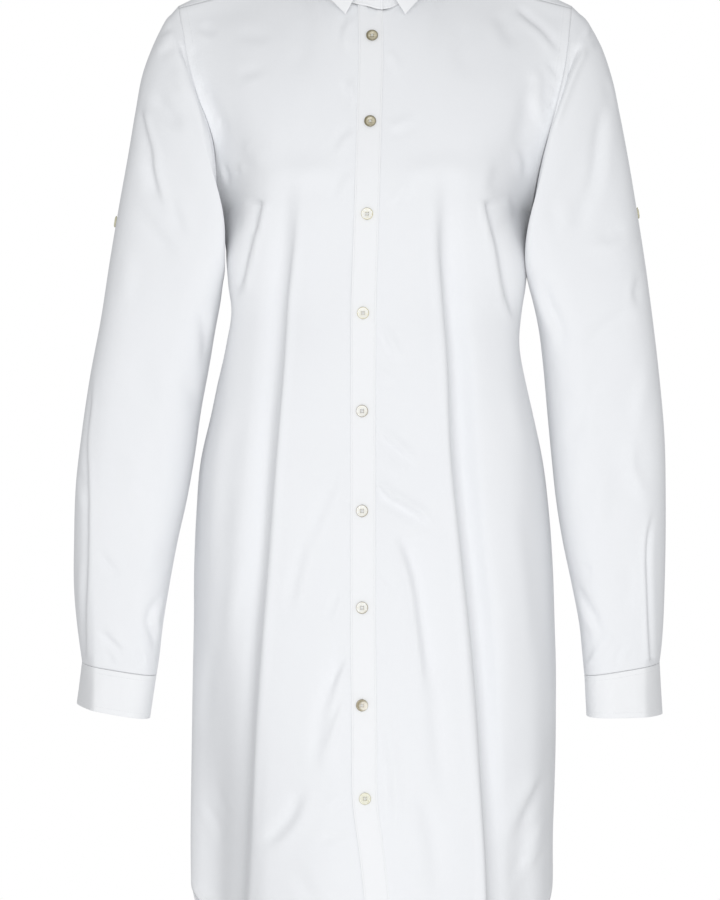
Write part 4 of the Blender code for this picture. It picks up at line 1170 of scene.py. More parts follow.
class DressBody:
    """The fronts, the back, the yoke, the sleeves and the button band, joined along shared seam lines."""

    def __init__(self) -> None:
        """Weave every piece from its lattice and bring the seams together."""
        lattice = BodyLattice()
        self.cloths: dict[str, Cloth] = {}
        self.lower = [FINE_LOWER] * LOWER_SPANS
        self.coarse_fronts = {side: lattice.front(side) for side in SIDES}
        coarse_back = lattice.back()
        back_columns = [BACK_COLUMN] * (coarse_back.shape[1] - 1)
        arm_columns = [FINE_ARM] * YOKE_ARM_SPANS
        yoke_columns = arm_columns + back_columns + arm_columns
        self.back = woven(coarse_back, [FINE_ARM] * BACK_ARM_SPANS + self.lower, back_columns, False)
        self.yoke = woven(lattice.yoke(coarse_back[0]), SHOULDER_COLUMNS, yoke_columns, False)
        self.yoke_seam = along_line(coarse_back[0], back_columns)
        pull_edge(self.back, Edge.TOP, self.yoke_seam)
        pull_edge(self.yoke, Edge.BOTTOM, self.yoke_seam[::-1], start=YOKE_ARM_COLUMNS)
        for side in SIDES:
            self.add_side(side)
        self.add("back", self.back, flip=True)
        self.add("yoke", self.yoke)
        self.add_neck(woven(lattice.band(self.coarse_fronts[1]), self.front_rows(), BAND_COLUMNS, False))

    def add(self, node: str, points: np.ndarray, name: str = "", **facts: float | bool) -> None:
        """Keep one piece of cloth under the name of its solid."""
        self.cloths[node] = Cloth(f"cloth_{name or node}", points, **facts)

    def front_rows(self) -> list[int]:
        """Fine steps between the rows of a front."""
        return [FINE_ARM] * FRONT_ARM_SPANS + self.lower

    def add_side(self, side: int) -> None:
        """Weave a front, a sleeve and a cuff, and sew them to the back and to the yoke."""
        word = SIDE_WORD[side]
        lattice = SleeveLattice(side)
        coarse = self.coarse_fronts[side]
        front = woven(coarse, self.front_rows(), FRONT_COLUMNS, False)
        knots = along_line(np.array(SHOULDER_SHARES)[:, None], SHOULDER_COLUMNS)
        shoulder = coarse[0, 5] + (coarse[0, 12] - coarse[0, 5]) * knots
        ring = [FINE_ARM] * len(lattice.angles())
        loop = along_line(np.array(lattice.seam_loop()), ring, closed=True)
        whole = np.concatenate([loop, loop[:1]])
        back_end = ARM_FRONT_ROWS + ARM_BACK_ROWS
        side_seam = along_line(coarse[FRONT_ARM_SPANS:, -1], self.lower)
        pull_edge(front, Edge.TOP, shoulder, start=NECK_COLUMNS)
        pull_edge(front, Edge.END, whole[:ARM_FRONT_ROWS + 1])
        pull_edge(front, Edge.END, side_seam, start=ARM_FRONT_ROWS)
        back_edge, yoke_edge = (Edge.START, Edge.END) if side < 0 else (Edge.END, Edge.START)
        pull_edge(self.back, back_edge, whole[ARM_FRONT_ROWS:back_end + 1][::-1])
        pull_edge(self.back, back_edge, side_seam, start=ARM_BACK_ROWS)
        pull_edge(self.yoke, yoke_edge, shoulder)
        if side > 0:
            pull_edge(self.yoke, Edge.BOTTOM, whole[back_end:][::-1])
        else:
            pull_edge(self.yoke, Edge.BOTTOM, whole[back_end:],
                      start=YOKE_ARM_COLUMNS + len(self.yoke_seam) - 1)
        sleeve = woven(lattice.sleeve(), [SLEEVE_ROW] * LOWER_SPANS, ring, True)
        pull_edge(sleeve, Edge.TOP, loop, reach=SLEEVE_SEAM_REACH)
        cuff = evenly_woven(lattice.cuff(), CUFF_ROWS, FINE_ARM)
        self.add(f"front_{word}", front, flip=side < 0)
        self.add(f"sleeve_{word}", sleeve, closed=True, flip=side > 0)
        self.add(f"cuff_{word}", cuff, flip=side > 0, wall=1.2, soft_edge=0.35, trim=0.0)

    def add_neck(self, band: np.ndarray) -> None:
        """Bring the fronts and the band up to the stand's foot, then weave the stand and the collar."""
        collar = CollarLattice()
        for word in SIDE_WORD.values():
            front = self.cloths[f"front_{word}"].points
            foot = np.array([collar.foot_over(x) for x in front[0, :NECK_COLUMNS + 1, 0]])
            pull_edge(front, Edge.TOP, foot - point(0, 0, SEAM_LIFT), SEAM_REACH)
        rise = np.array([collar.foot_over(x)[2] - 2 * SEAM_LIFT for x in band[0, :, 0]]) - band[0, :, 2]
        pull_edge(band, Edge.TOP, band[0] + rise[:, None] * point(0, SAG_SLOPE, 1), SEAM_REACH)
        stand = evenly_woven(collar.stand(), STAND_ROWS, STAND_COLUMN)
        leaf = evenly_woven(collar.collar(), COLLAR_ROWS, COLLAR_COLUMN)
        self.add("placket", band, name="button_band", wall=0.5, soft_edge=0.2, trim=0.0)
        for node, points in (("collar_stand", stand), ("collar", leaf)):
            self.add(node, points, flip=True, wall=1.1, soft_edge=0.3, trim=0.0)


def creases(*rows: tuple) -> tuple[Crease, ...]:
    """Creases from rows of path, height, width, valley, valley width, and softness at the start and end."""
    return tuple(Crease(*row) for row in rows)


# Folds and creases of the front, as seen from the front: its long fold edges come first
FRONT_CREASES = creases(
    (((-65.5, -218), (-70.7, -268), (-77.5, -324), (-81, -380), (-88, -465), (-97, -580), (-105.5, -690),
      (-110, -770), (-114, -841), (-121, -925)), 1.7, 4.5, 4.4, 2.0, 0.22, 0.05),
    (((103, -925), (101.5, -841), (97, -770), (93, -700), (87, -629), (79, -558), (69, -460), (66, -380),
      (61.4, -319), (57.3, -268), (57, -218)), 2.7, 5.5, 3.6, 2.4, 0.05, 0.22),
    (((-100.3, -232), (-103.5, -248), (-111.5, -277), (-117.5, -303), (-124, -328)), 2.4, 3.6, 3.0, 3.0,
     0.06, 0.3),
    (((129.6, -349), (120, -319), (109, -266), (104, -248), (100.8, -231)), 2.4, 3.6, 3.0, 3.0, 0.3,
     0.06),
    (((-140, -735), (-147, -790), (-150, -850), (-152, -915)), -5.0, 16, 0.0, 1, 0.5, 0.1),
    (((128, -800), (140, -850), (144, -900)), -3.5, 16, 0.0, 1, 0.5, 0.2),
    # Diagonal creases from the button band, those on its left in the photo first
    (((-56, -765), (-48, -705), (-36, -660), (-24, -622)), -2.9, 6.5, 0.55, 1.2),
    (((-42, -683), (-31, -660), (-20, -643)), -1.7, 3.4, 0.6),
    (((-48, -740), (-40, -712), (-32, -692), (-21, -676)), -1.9, 3.8, 0.6),
    (((-107, -828), (-89, -814), (-75, -795), (-65, -764)), -3.2, 6.5, 0.6, 1.3),
    (((-80, -615), (-70, -570), (-60, -528)), -1.6, 5.1, 0.5),
    (((-62, -555), (-50, -520), (-38, -492), (-30, -470)), -1.1, 5.1, 0.5),
    (((-52, -822), (-34, -816), (-18, -815)), -1.4, 3.4, 0.6),
    (((-46, -790), (-34, -782), (-24, -776)), 0.9, 3.4, 0.6),
    (((-44, -618), (-36, -600), (-31, -586)), -1.1, 3.4, 0.5),
    (((6, -340), (13, -356), (21, -370), (28, -384)), 1.7, 3.8, 0.9, 1.2),
    (((4, -384), (12, -394), (22, -402)), 1.1, 3.4, 0.6),
    (((5, -438), (16, -450), (28, -461), (45, -476)), 1.9, 3.8, 0.9, 1.2),
    (((6, -464), (18, -478), (27, -490)), 1.1, 3.4, 0.7),
    (((4, -488), (14, -500), (28, -508), (44, -518), (58, -533)), 2.4, 4.0, 1.7, 1.9, 0.15, 0.4),
    (((44, -690), (42, -655), (38, -622), (32, -582), (24, -556), (14, -534)), 2.5, 5.0, 1.9, 2.8, 0.3,
     0.2),
    (((6, -570), (20, -588), (30, -600)), -1.1, 3.8, 0.5),
    (((52, -632), (57, -690), (61, -745), (69, -800)), -2.3, 8.5, 0.35, 1.5),
    (((7, -640), (12, -655), (15, -668)), 0.9, 3.4, 0.6),
    (((8, -698), (14, -722), (17, -745), (20, -790), (20, -830)), 1.9, 4.7, 0.8, 1.5),
    (((40, -765), (52, -800), (58, -845), (60, -890)), -2.0, 9.3, 0.4, 1.4),
    (((-74, -845), (-60, -870), (-44, -905)), -1.4, 7.6, 0.4, 1.2),
    # Bust: a soft shelf on each side
    (((-100, -222), (-87, -213), (-68, -209), (-42, -208), (-24, -216)), 2.6, 13, 0.0, 1, 0.3, 0.5),
    (((14, -236), (27, -219), (41, -209), (61, -206), (83, -209), (97, -222)), 2.6, 13, 0.0, 1, 0.4, 0.3),
    (((16, -238), (26, -224), (35, -214)), 1.2, 5, 0.7),
    # Chest beside the wearer's right arm
    (((-162, -65), (-153, -72), (-147, -77)), -1.7, 5, 0.5),
    (((-165.5, -85), (-168.5, -94), (-166, -104)), -1.6, 3, 0.5),
    (((-161, -120), (-160, -132)), -1.6, 2.6, 0.5),
    (((-163, -112), (-154, -134), (-146, -154), (-139, -174), (-136, -192)), -2.6, 7.5, 0.3),
    (((-143.5, -153), (-142.5, -167)), -1.3, 2.3, 0.6),
    (((-138.5, -156), (-137.5, -167)), -1.1, 2.3, 0.6),
    (((-141.5, -194), (-137, -206), (-134, -219)), -1.6, 2.5, 0.6),
    (((-125, -198), (-119, -205)), 1.4, 3.2, 0.8),
    (((-122, -177), (-108, -190), (-99, -204)), 1.5, 8, 0.5),
    (((-128, -116), (-112, -112), (-98, -108)), -1.1, 6, 0.5),
    (((-128, -72), (-110, -78), (-92, -76)), -1.0, 7, 0.4),
    (((-72, -62), (-66, -90), (-74, -120)), -1.1, 9, 0.4),
    (((-112, -232), (-118, -250), (-122, -268)), 1.2, 5, 0.6),
    # Chest beside the wearer's left arm
    (((134, -47), (147, -59), (159, -69), (168, -80), (177, -95)), -2.4, 4.2, 0.7, 1.3, 0.2, 0.3),
    (((117, -51), (126, -72), (133, -91)), -2.2, 9, 0.4),
    (((164, -100), (170, -110), (174, -120)), -1.7, 3.4, 0.6),
    (((146.7, -105), (153, -117), (152, -134), (156, -154), (162, -168)), 1.9, 5, 1.0, 1.8),
    (((149, -133), (142, -151), (138, -172), (132, -196)), -2.2, 9, 0.3),
    (((165, -136), (170, -150)), -1.4, 2.7, 0.6),
    (((168.5, -124), (172, -133)), -1.3, 2.7, 0.6),
    (((136, -180), (142, -196), (141, -214)), -1.8, 4.2, 0.6),
    (((118, -196), (112, -212), (110, -230)), -1.3, 6, 0.5),
    (((128, -222), (132, -238), (131, -256)), -1.4, 4, 0.6),
    (((112, -258), (120, -246), (128, -240)), 1.2, 4, 0.7),
    (((86, -62), (82, -92), (88, -124)), -1.1, 9, 0.4),
    # Small pulls round the top buttons and below them
    (((-18, -60), (-26, -78), (-22, -96)), 1.2, 4.5, 0.7),
    (((-24, -120), (-19, -134), (-15, -148)), 1.4, 4.5, 0.7),
    (((-16, -168), (-27, -180), (-34, -196)), 1.2, 5, 0.6),
    (((-18, -206), (-28, -222), (-30, -240)), 0.9, 5, 0.5),
    (((12, -166), (26, -162), (38, -152)), 1.1, 5, 0.6),
    (((12, -92), (20, -104), (22, -120)), 0.9, 4.5, 0.6),
    # Lower side panels
    (((-119, -416), (-133, -463), (-140, -528), (-150, -580)), -1.8, 9, 0.5, 1.4),
    (((-124, -480), (-128, -564), (-135, -639), (-139, -700)), 1.4, 8, 0.6, 1.5),
    (((-112, -560), (-120, -600), (-130, -650)), -0.8, 7, 0.4),
    (((-150, -640), (-156, -690), (-158, -740)), -1.2, 7, 0.4),
    (((-146, -776), (-138, -800), (-128, -812)), 0.9, 5, 0.7),
    (((-162, -800), (-152, -826), (-150, -850)), -1.0, 5, 0.5),
    (((137, -491), (146, -547), (152, -603), (155, -678)), -1.6, 9, 0.5, 1.4),
    (((124, -400), (136, -440), (146, -482)), 0.9, 8, 0.5),
    (((116, -560), (122, -640), (124, -720)), 1.2, 12, 0.4, 1.3),
    (((166, -764), (154, -786), (143, -808), (137, -840)), -3.6, 7.5, 0.8, 1.3),
    (((168, -808), (156, -822), (148, -848), (146, -872)), 1.3, 5.5, 0.9),
    (((166, -838), (159, -846), (154, -860)), -1.0, 4, 0.5),
    (((150, -842), (140, -862), (130, -880)), 0.9, 5, 0.7),
)

# Creases of each sleeve's front, as seen from the front
SLEEVE_CREASES = {
    -1: creases(
        (((-262, -372), (-262, -417), (-266, -455), (-265, -492), (-266, -577), (-268, -614),
          (-269, -664)), 1.2, 3.2, 2.8, 1.2, 0.3, 0.04),
        (((-278, -476), (-273, -500), (-267, -524)), -1.8, 4, 0.6),
        (((-275, -560), (-276, -600), (-274, -646)), 1.3, 4, 0.4),
        (((-160, -128), (-166, -112), (-174, -96), (-183, -79)), -3.2, 3.6, 0.6, 1.5, 0.2, 0.25),
        (((-214, -142), (-208, -168), (-203, -186), (-201, -205), (-193, -232), (-186, -252)), 2.2, 4.0,
         1.6, 1.6, 0.12, 0.5),
        (((-210, -131), (-199, -144), (-188, -156), (-176, -168)), -1.8, 7, 0.5, 1.3),
        (((-202, -232), (-210, -205), (-222, -182)), -2.0, 6, 0.5, 1.2),
        (((-176, -270), (-184, -244), (-190, -222)), -1.4, 6, 0.5),
        (((-172, -160), (-186, -152), (-200, -136), (-205, -122)), -1.8, 8, 0.5, 1.4),
        (((-185, -292), (-196, -272), (-212, -252), (-228, -234)), -1.8, 9, 0.5, 1.3),
        (((-206, -90), (-196, -84), (-190, -76)), 1.4, 5, 0.8),
        (((-204, -74), (-194, -70), (-186, -66)), -1.3, 4, 0.6),
        (((-172, -138), (-180, -118), (-190, -104)), 1.4, 7, 0.5),
        (((-154, -392), (-156, -356), (-163, -322)), -2.8, 6, 0.7, 1.3),
        (((-160, -430), (-170, -410), (-176, -385)), -1.3, 7, 0.5),
        (((-238, -582), (-248, -570), (-258, -558)), -1.7, 3.8, 0.7),
        (((-234, -656), (-246, -644), (-258, -630)), -2.2, 4.2, 0.8),
        (((-206, -658), (-205, -642), (-210, -624), (-203, -606), (-192, -592)), -2.8, 4.5, 0.8),
        (((-198, -644), (-197, -624), (-192, -610)), 1.1, 3.5, 0.6),
        (((-216, -668), (-219, -656), (-223, -646)), -1.1, 3, 0.7),
        (((-244, -668), (-248, -656), (-254, -648)), -1.1, 3, 0.7),
        (((-206, -430), (-214, -400), (-218, -365)), -1.3, 12, 0.4, 1.2),
        (((-226, -520), (-224, -490), (-230, -455)), 1.1, 10, 0.5),
        (((-198, -500), (-204, -470), (-203, -440)), -1.0, 8, 0.5),
        (((-212, -585), (-208, -560), (-200, -540)), 1.0, 8, 0.5),
        (((-236, -330), (-230, -300), (-232, -268)), 1.1, 9, 0.5),
    ),
    1: creases(
        (((259, -665), (257, -639), (255, -602), (253.5, -565), (255, -540), (262, -514)), 1.4, 3.0, 2.4,
         1.0, 0.04, 0.3),
        (((246, -452), (240, -472), (248, -496), (258, -514)), 2.2, 6, 0.8, 2.5),
        (((258, -380), (250, -417), (243, -455)), 1.4, 8, 0.8, 2.0),
        (((200, -86), (188, -109), (180, -130), (172, -152), (166, -172)), 2.8, 4.2, 1.8, 1.3, 0.12, 0.3),
        (((201, -236), (208, -198), (211, -171), (216, -146), (224, -126)), -3.1, 6.5, 0.6, 1.5),
        (((190, -262), (197, -232), (206, -205)), -1.7, 7, 0.5, 1.3),
        (((247, -256), (236, -268), (218, -275), (195, -270)), 2.2, 8, 0.9, 1.4),
        (((248, -342), (236, -339), (220, -346), (202, -362), (194, -376)), -2.0, 8, 0.6, 1.4),
        (((156, -300), (163, -326), (174, -350), (176, -378)), -3.1, 6, 0.8, 1.3),
        (((252, -300), (246, -314), (248, -332)), -1.7, 5, 0.6),
        (((184, -582), (192, -596), (204, -616), (213, -636), (208, -652)), -2.5, 4.5, 0.8, 1.2),
        (((190, -612), (196, -634), (198, -652)), 1.3, 3.5, 0.6),
        (((196, -566), (206, -572), (204, -584)), 1.0, 3.5, 0.7),
        (((196, -668), (203, -656), (210, -646)), -1.3, 3.2, 0.7),
        (((228, -668), (232, -652), (238, -640)), -1.1, 3.2, 0.7),
        (((206, -664), (216, -644), (230, -630)), 1.0, 6, 0.5),
        (((206, -88), (214, -76), (216, -64)), -1.5, 4, 0.7),
        (((198, -76), (203, -66), (204, -56)), 1.3, 3.5, 0.8),
        (((222, -110), (230, -130), (233, -152)), 1.4, 6, 0.6),
        (((186, -420), (194, -400), (212, -384)), 1.4, 9, 0.6),
        (((180, -460), (190, -440), (198, -415)), -1.3, 8, 0.5),
        (((206, -540), (214, -510), (212, -480)), 1.1, 10, 0.5),
        (((190, -520), (200, -500), (206, -470)), -1.0, 8, 0.5),
        (((236, -620), (240, -590), (236, -560)), -1.0, 7, 0.5),
        (((172, -226), (178, -246), (176, -266)), 1.1, 7, 0.5),
    ),
}

# Folds and creases of the hidden back, as seen from the front through the dress
BACK_CREASES = creases(
    (((-58, -330), (-64, -440), (-74, -560), (-82, -680), (-90, -800), (-95, -945)), 1.7, 5, 2.0, 3.0,
     0.3, 0.05),
    (((97, -945), (92, -800), (86, -680), (80, -560), (72, -440), (65, -330)), 1.6, 5, 2.1, 3.0, 0.05,
     0.3),
    (((-150, -120), (-120, -150), (-84, -170), (-40, -178)), 2.3, 13, 0.6, 1.6),
    (((46, -172), (88, -160), (122, -142), (152, -112)), 2.2, 12, 0.6, 1.5),
    (((-146, -150), (-122, -190), (-104, -240), (-98, -300)), 1.9, 10, 0.7, 1.5),
    (((148, -146), (126, -186), (110, -236), (106, -290)), -1.9, 10, 0.7, 1.5),
    (((-24, -96), (-30, -150), (-26, -220), (-34, -300)), -1.4, 12, 0.5),
    (((22, -94), (30, -160), (24, -240)), 1.4, 12, 0.5),
    (((-110, -360), (-84, -372), (-52, -378), (-18, -372)), 1.7, 8, 0.8, 1.3),
    (((16, -392), (48, -400), (84, -394), (112, -380)), 1.9, 8, 0.8, 1.3),
    (((-96, -402), (-70, -412), (-44, -410)), 1.2, 6, 0.7),
    (((36, -430), (60, -436), (88, -430)), 1.2, 6, 0.7),
    (((-10, -420), (-22, -500), (-14, -600), (-24, -700)), 1.4, 12, 0.5, 1.4),
    (((26, -460), (34, -560), (28, -680), (36, -800)), -1.6, 12, 0.5, 1.4),
    (((-40, -560), (-48, -680), (-44, -800), (-52, -900)), -1.4, 11, 0.5, 1.3),
    (((-118, -480), (-128, -580), (-132, -690), (-140, -800)), 2.0, 10, 0.6, 1.4),
    (((124, -500), (134, -610), (130, -720), (140, -840)), -2.0, 10, 0.6, 1.4),
    (((-150, -560), (-156, -640), (-154, -720)), -1.4, 7, 0.5),
    (((150, -600), (156, -680), (158, -760)), 1.4, 7, 0.5),
    (((-30, -760), (-10, -790), (14, -810)), 1.3, 6, 0.7),
    (((20, -850), (44, -870), (70, -880)), 1.3, 6, 0.7),
    (((-126, -856), (-112, -876), (-92, -892)), 1.4, 6, 0.7),
    (((0, -560), (6, -650), (-2, -760), (4, -900)), 1.3, 16, 0.3),
    (((-70, -200), (-62, -240), (-66, -290)), 1.0, 9, 0.5),
    (((70, -210), (64, -260), (70, -320)), -1.0, 9, 0.5),
)
SLEEVE_BACK_CREASES = {
    -1: creases(
        (((-160, -250), (-184, -262), (-210, -262), (-232, -250)), 2.2, 8, 0.8, 1.4),
        (((-152, -290), (-178, -304), (-206, -306)), -1.7, 7, 0.7),
        (((-160, -352), (-184, -364), (-214, -358), (-240, -340)), 2.5, 8, 0.9, 1.4),
        (((-164, -392), (-190, -404), (-220, -398)), -2.2, 7, 0.8),
        (((-172, -430), (-200, -436), (-232, -424)), 1.7, 7, 0.8),
        (((-180, -150), (-196, -180), (-202, -220)), -1.6, 9, 0.5),
        (((-214, -120), (-218, -150), (-214, -190)), 1.4, 8, 0.5),
        (((-250, -470), (-252, -540), (-252, -610), (-254, -664)), 1.7, 4, 2.2, 1.2, 0.3, 0.05),
        (((-216, -520), (-222, -560), (-218, -610)), -1.4, 7, 0.6),
        (((-238, -668), (-236, -640), (-240, -600)), -1.6, 4, 0.7, 1.0, 0.05, 0.5),
        (((-216, -670), (-218, -648), (-212, -620)), -1.3, 4, 0.7, 1.0, 0.05, 0.5),
        (((-192, -560), (-200, -590), (-206, -630)), 1.3, 6, 0.6),
    ),
    1: creases(
        (((164, -246), (186, -256), (212, -254), (236, -240)), 2.0, 8, 0.8, 1.4),
        (((158, -300), (182, -312), (208, -308)), -1.7, 7, 0.7),
        (((162, -342), (190, -356), (220, -352), (246, -334)), 2.3, 8, 0.9, 1.4),
        (((168, -384), (196, -398), (226, -392)), -2.0, 7, 0.8),
        (((174, -440), (202, -448), (230, -436)), 1.6, 7, 0.8),
        (((186, -140), (202, -170), (206, -214)), -1.4, 9, 0.5),
        (((218, -124), (224, -156), (220, -196)), 1.4, 8, 0.5),
        (((246, -664), (245, -600), (246, -540), (242, -476)), 1.7, 4, 2.2, 1.2, 0.05, 0.3),
        (((210, -520), (216, -566), (212, -612)), -1.3, 7, 0.6),
        (((230, -668), (230, -640), (234, -604)), -1.4, 4, 0.7, 1.0, 0.05, 0.5),
        (((212, -670), (213, -646), (208, -618)), -1.3, 4, 0.7, 1.0, 0.05, 0.5),
    ),
}
CUFF_CREASES = {
    -1: creases(
        (((-286, -664), (-289, -690), (-290, -712)), -4.0, 11, 0.0, 1, 0.05, 0.05),
        (((-252, -668), (-256, -690), (-258, -712)), 0.7, 9, 0.6, 1, 0.1, 0.1),
        (((-222, -676), (-226, -698), (-226, -714)), -0.5, 7, 0.5, 1, 0.1, 0.1),
    ),
    1: creases(
        (((283, -712), (282, -690), (280, -664)), -3.5, 9, 0.0, 1, 0.05, 0.05),
        (((250, -712), (248, -692), (250, -672)), 0.7, 8, 0.6, 1, 0.1, 0.1),
        (((214, -716), (212, -700), (214, -680)), -0.6, 7, 0.5, 1, 0.1, 0.1),
    ),
}


# How far the parts beyond the long folds, and the sleeves' outer edges, stand back, by height
SIDE_SET_BACK = {
    -1: Table("z depth", ((-330, 0), (-480, 3), (-600, 10), (-720, 24), (-830, 36), (-960, 40))),
    1: Table("z depth", ((-330, 0), (-480, 2), (-600, 5), (-720, 9), (-830, 16), (-960, 24))),
}
SLEEVE_SET_BACK = {
    -1: Table("z depth", ((-380, 0), (-480, 7), (-600, 16), (-660, 23), (-710, 34))),
    1: Table("z depth", ((-480, 0), (-560, 7), (-640, 13), (-730, 22))),
}
SLEEVE_OUTER_EDGE = {-1: 283.0, 1: 276.0}
SLEEVE_SET_BACK_WIDTH = 22.0
SIDE_PANEL = (97.0, 162.0)
# The front stays flat beside the middle of the button band, then eases into its creases
BAND_HALF = 10.0
BAND_EASE = 7.0


def crease_dress(body: DressBody) -> None:
    """Lay the folds and creases into the fronts, the sleeves, the cuffs and the back."""
    back = body.cloths["back"]
    for side in SIDES:
        word = SIDE_WORD[side]
        front = body.cloths[f"front_{word}"]
        front.set_back(*SIDE_PANEL, SIDE_SET_BACK[side])
        back_edge = Edge.START if side < 0 else Edge.END
        pull_edge(back.points, back_edge, front.points[ARM_FRONT_ROWS:, -1], SEAM_REACH, ARM_BACK_ROWS)
        middle = np.interp(front.points[..., 2], BAND_MIDDLE.keys, BAND_MIDDLE.columns[:, 0])
        beside_band = np.abs(front.points[..., 0] - middle) - BAND_HALF
        front.crease(FRONT_CREASES, mask=eased(beside_band / BAND_EASE))
        edge = SLEEVE_OUTER_EDGE[side]
        for name, creases in ((f"sleeve_{word}", SLEEVE_CREASES), (f"cuff_{word}", CUFF_CREASES)):
            cloth = body.cloths[name]
            cloth.set_back(edge - SLEEVE_SET_BACK_WIDTH, edge + 1, SLEEVE_SET_BACK[side])
            cloth.crease(creases[side])
        body.cloths[f"sleeve_{word}"].crease(SLEEVE_BACK_CREASES[side], back=True)
    back.crease(BACK_CREASES, back=True)


Colour = bpy.types.NodeSocket | Sequence[float]


def math_method(operation: str, reflected: bool = False) -> Callable[["Value", "Value | float"], "Value"]:
    """Give an operator that adds one Math node.

    Args:
        operation: The node's operation.
        reflected: Whether the other value comes first.

    Returns:
        The operator, as a method of Value.
    """
    def method(self: "Value", other: "Value | float") -> "Value":
        """Join this value and the other."""
        first, second = (other, self) if reflected else (self, other)
        return self.shader.sum(operation, first, second)
    return method


class Value:
    """A node's output on which sums are written as Python expressions."""

    def __init__(self, shader: "Shader", socket: bpy.types.NodeSocket) -> None:
        """Keep the socket and the shader that it belongs to."""
        self.shader = shader
        self.socket = socket

    __add__ = __radd__ = math_method("ADD")
    __sub__ = math_method("SUBTRACT")
    __rsub__ = math_method("SUBTRACT", reflected=True)
    __mul__ = __rmul__ = math_method("MULTIPLY")


class Shader:
    """One material and its nodes."""

    def __init__(self, name: str) -> None:
        """Start a material with its Principled shader."""
        self.material = bpy.data.materials.new(name)
        self.material.use_nodes = True
        self.tree = self.material.node_tree
        self.principled = self.tree.nodes["Principled BSDF"]

    def node(self, kind: str, settings: dict | None = None, sockets: dict | None = None) -> bpy.types.Node:
        """Add any node.

        Args:
            kind: The node's type.
            settings: Its own settings, set before its sockets.
            sockets: Values or links of its input sockets, by name or place.

        Returns:
            The node.
        """
        node = self.tree.nodes.new(kind)
        for name, value in (settings or {}).items():
            setattr(node, name, value)
        self.feed(node, sockets or {})
        return node

    def feed(self, node: bpy.types.Node, sockets: dict) -> None:
        """Set or link input sockets of a node."""
        for key, value in sockets.items():
            if isinstance(value, Value):
                value = value.socket
            if isinstance(value, bpy.types.NodeSocket):
                self.tree.links.new(value, node.inputs[key])
            else:
                node.inputs[key].default_value = value

    def sum(self, operation: str, first: "Value | float", second: "Value | float") -> Value:
        """Add a Math node on two values."""
        node = self.node("ShaderNodeMath", {"operation": operation}, {0: first, 1: second})
        return Value(self, node.outputs[0])

    def ease(self, value: Value, low: float, high: float) -> Value:
        """Ease from 0 at low to 1 at high."""
        node = self.node("ShaderNodeMapRange", {"interpolation_type": "SMOOTHSTEP"},
                         {"Value": value, "From Min": low, "From Max": high})
        return Value(self, node.outputs[0])

    def noise(self, vector: bpy.types.NodeSocket, scale: float, detail: float = 2.0) -> Value:
        """Soft noise between 0 and 1."""
        node = self.node("ShaderNodeTexNoise", {}, {"Vector": vector, "Scale": scale, "Detail": detail})
        return Value(self, node.outputs[0])

    def vector(self, operation: str, first: bpy.types.NodeSocket, second: Sequence[float]) -> bpy.types.Node:
        """Add a Vector Math node on a link and a fixed vector."""
        return self.node("ShaderNodeVectorMath", {"operation": operation}, {0: first, 1: second})

    def mixed(self, factor: Value, first: Colour, second: Colour) -> bpy.types.NodeSocket:
        """Colour that turns from the first to the second."""
        first, second = (c if isinstance(c, bpy.types.NodeSocket) else (*c, 1.0) for c in (first, second))
        return self.node("ShaderNodeMix", {"data_type": "RGBA"}, {0: factor, 6: first, 7: second}).outputs[2]

    def stretched(self, vector: bpy.types.NodeSocket, scale: Sequence[float]) -> bpy.types.NodeSocket:
        """The same places, stretched along each axis."""
        return self.node("ShaderNodeMapping", {}, {"Vector": vector, "Scale": scale}).outputs[0]

    def bump(self, height: Value) -> bpy.types.NodeSocket:
        """Surface direction bent by a height in metres."""
        sockets = {"Strength": 1.0, "Distance": 1.0, "Height": height}
        return self.node("ShaderNodeBump", {}, sockets).outputs[0]


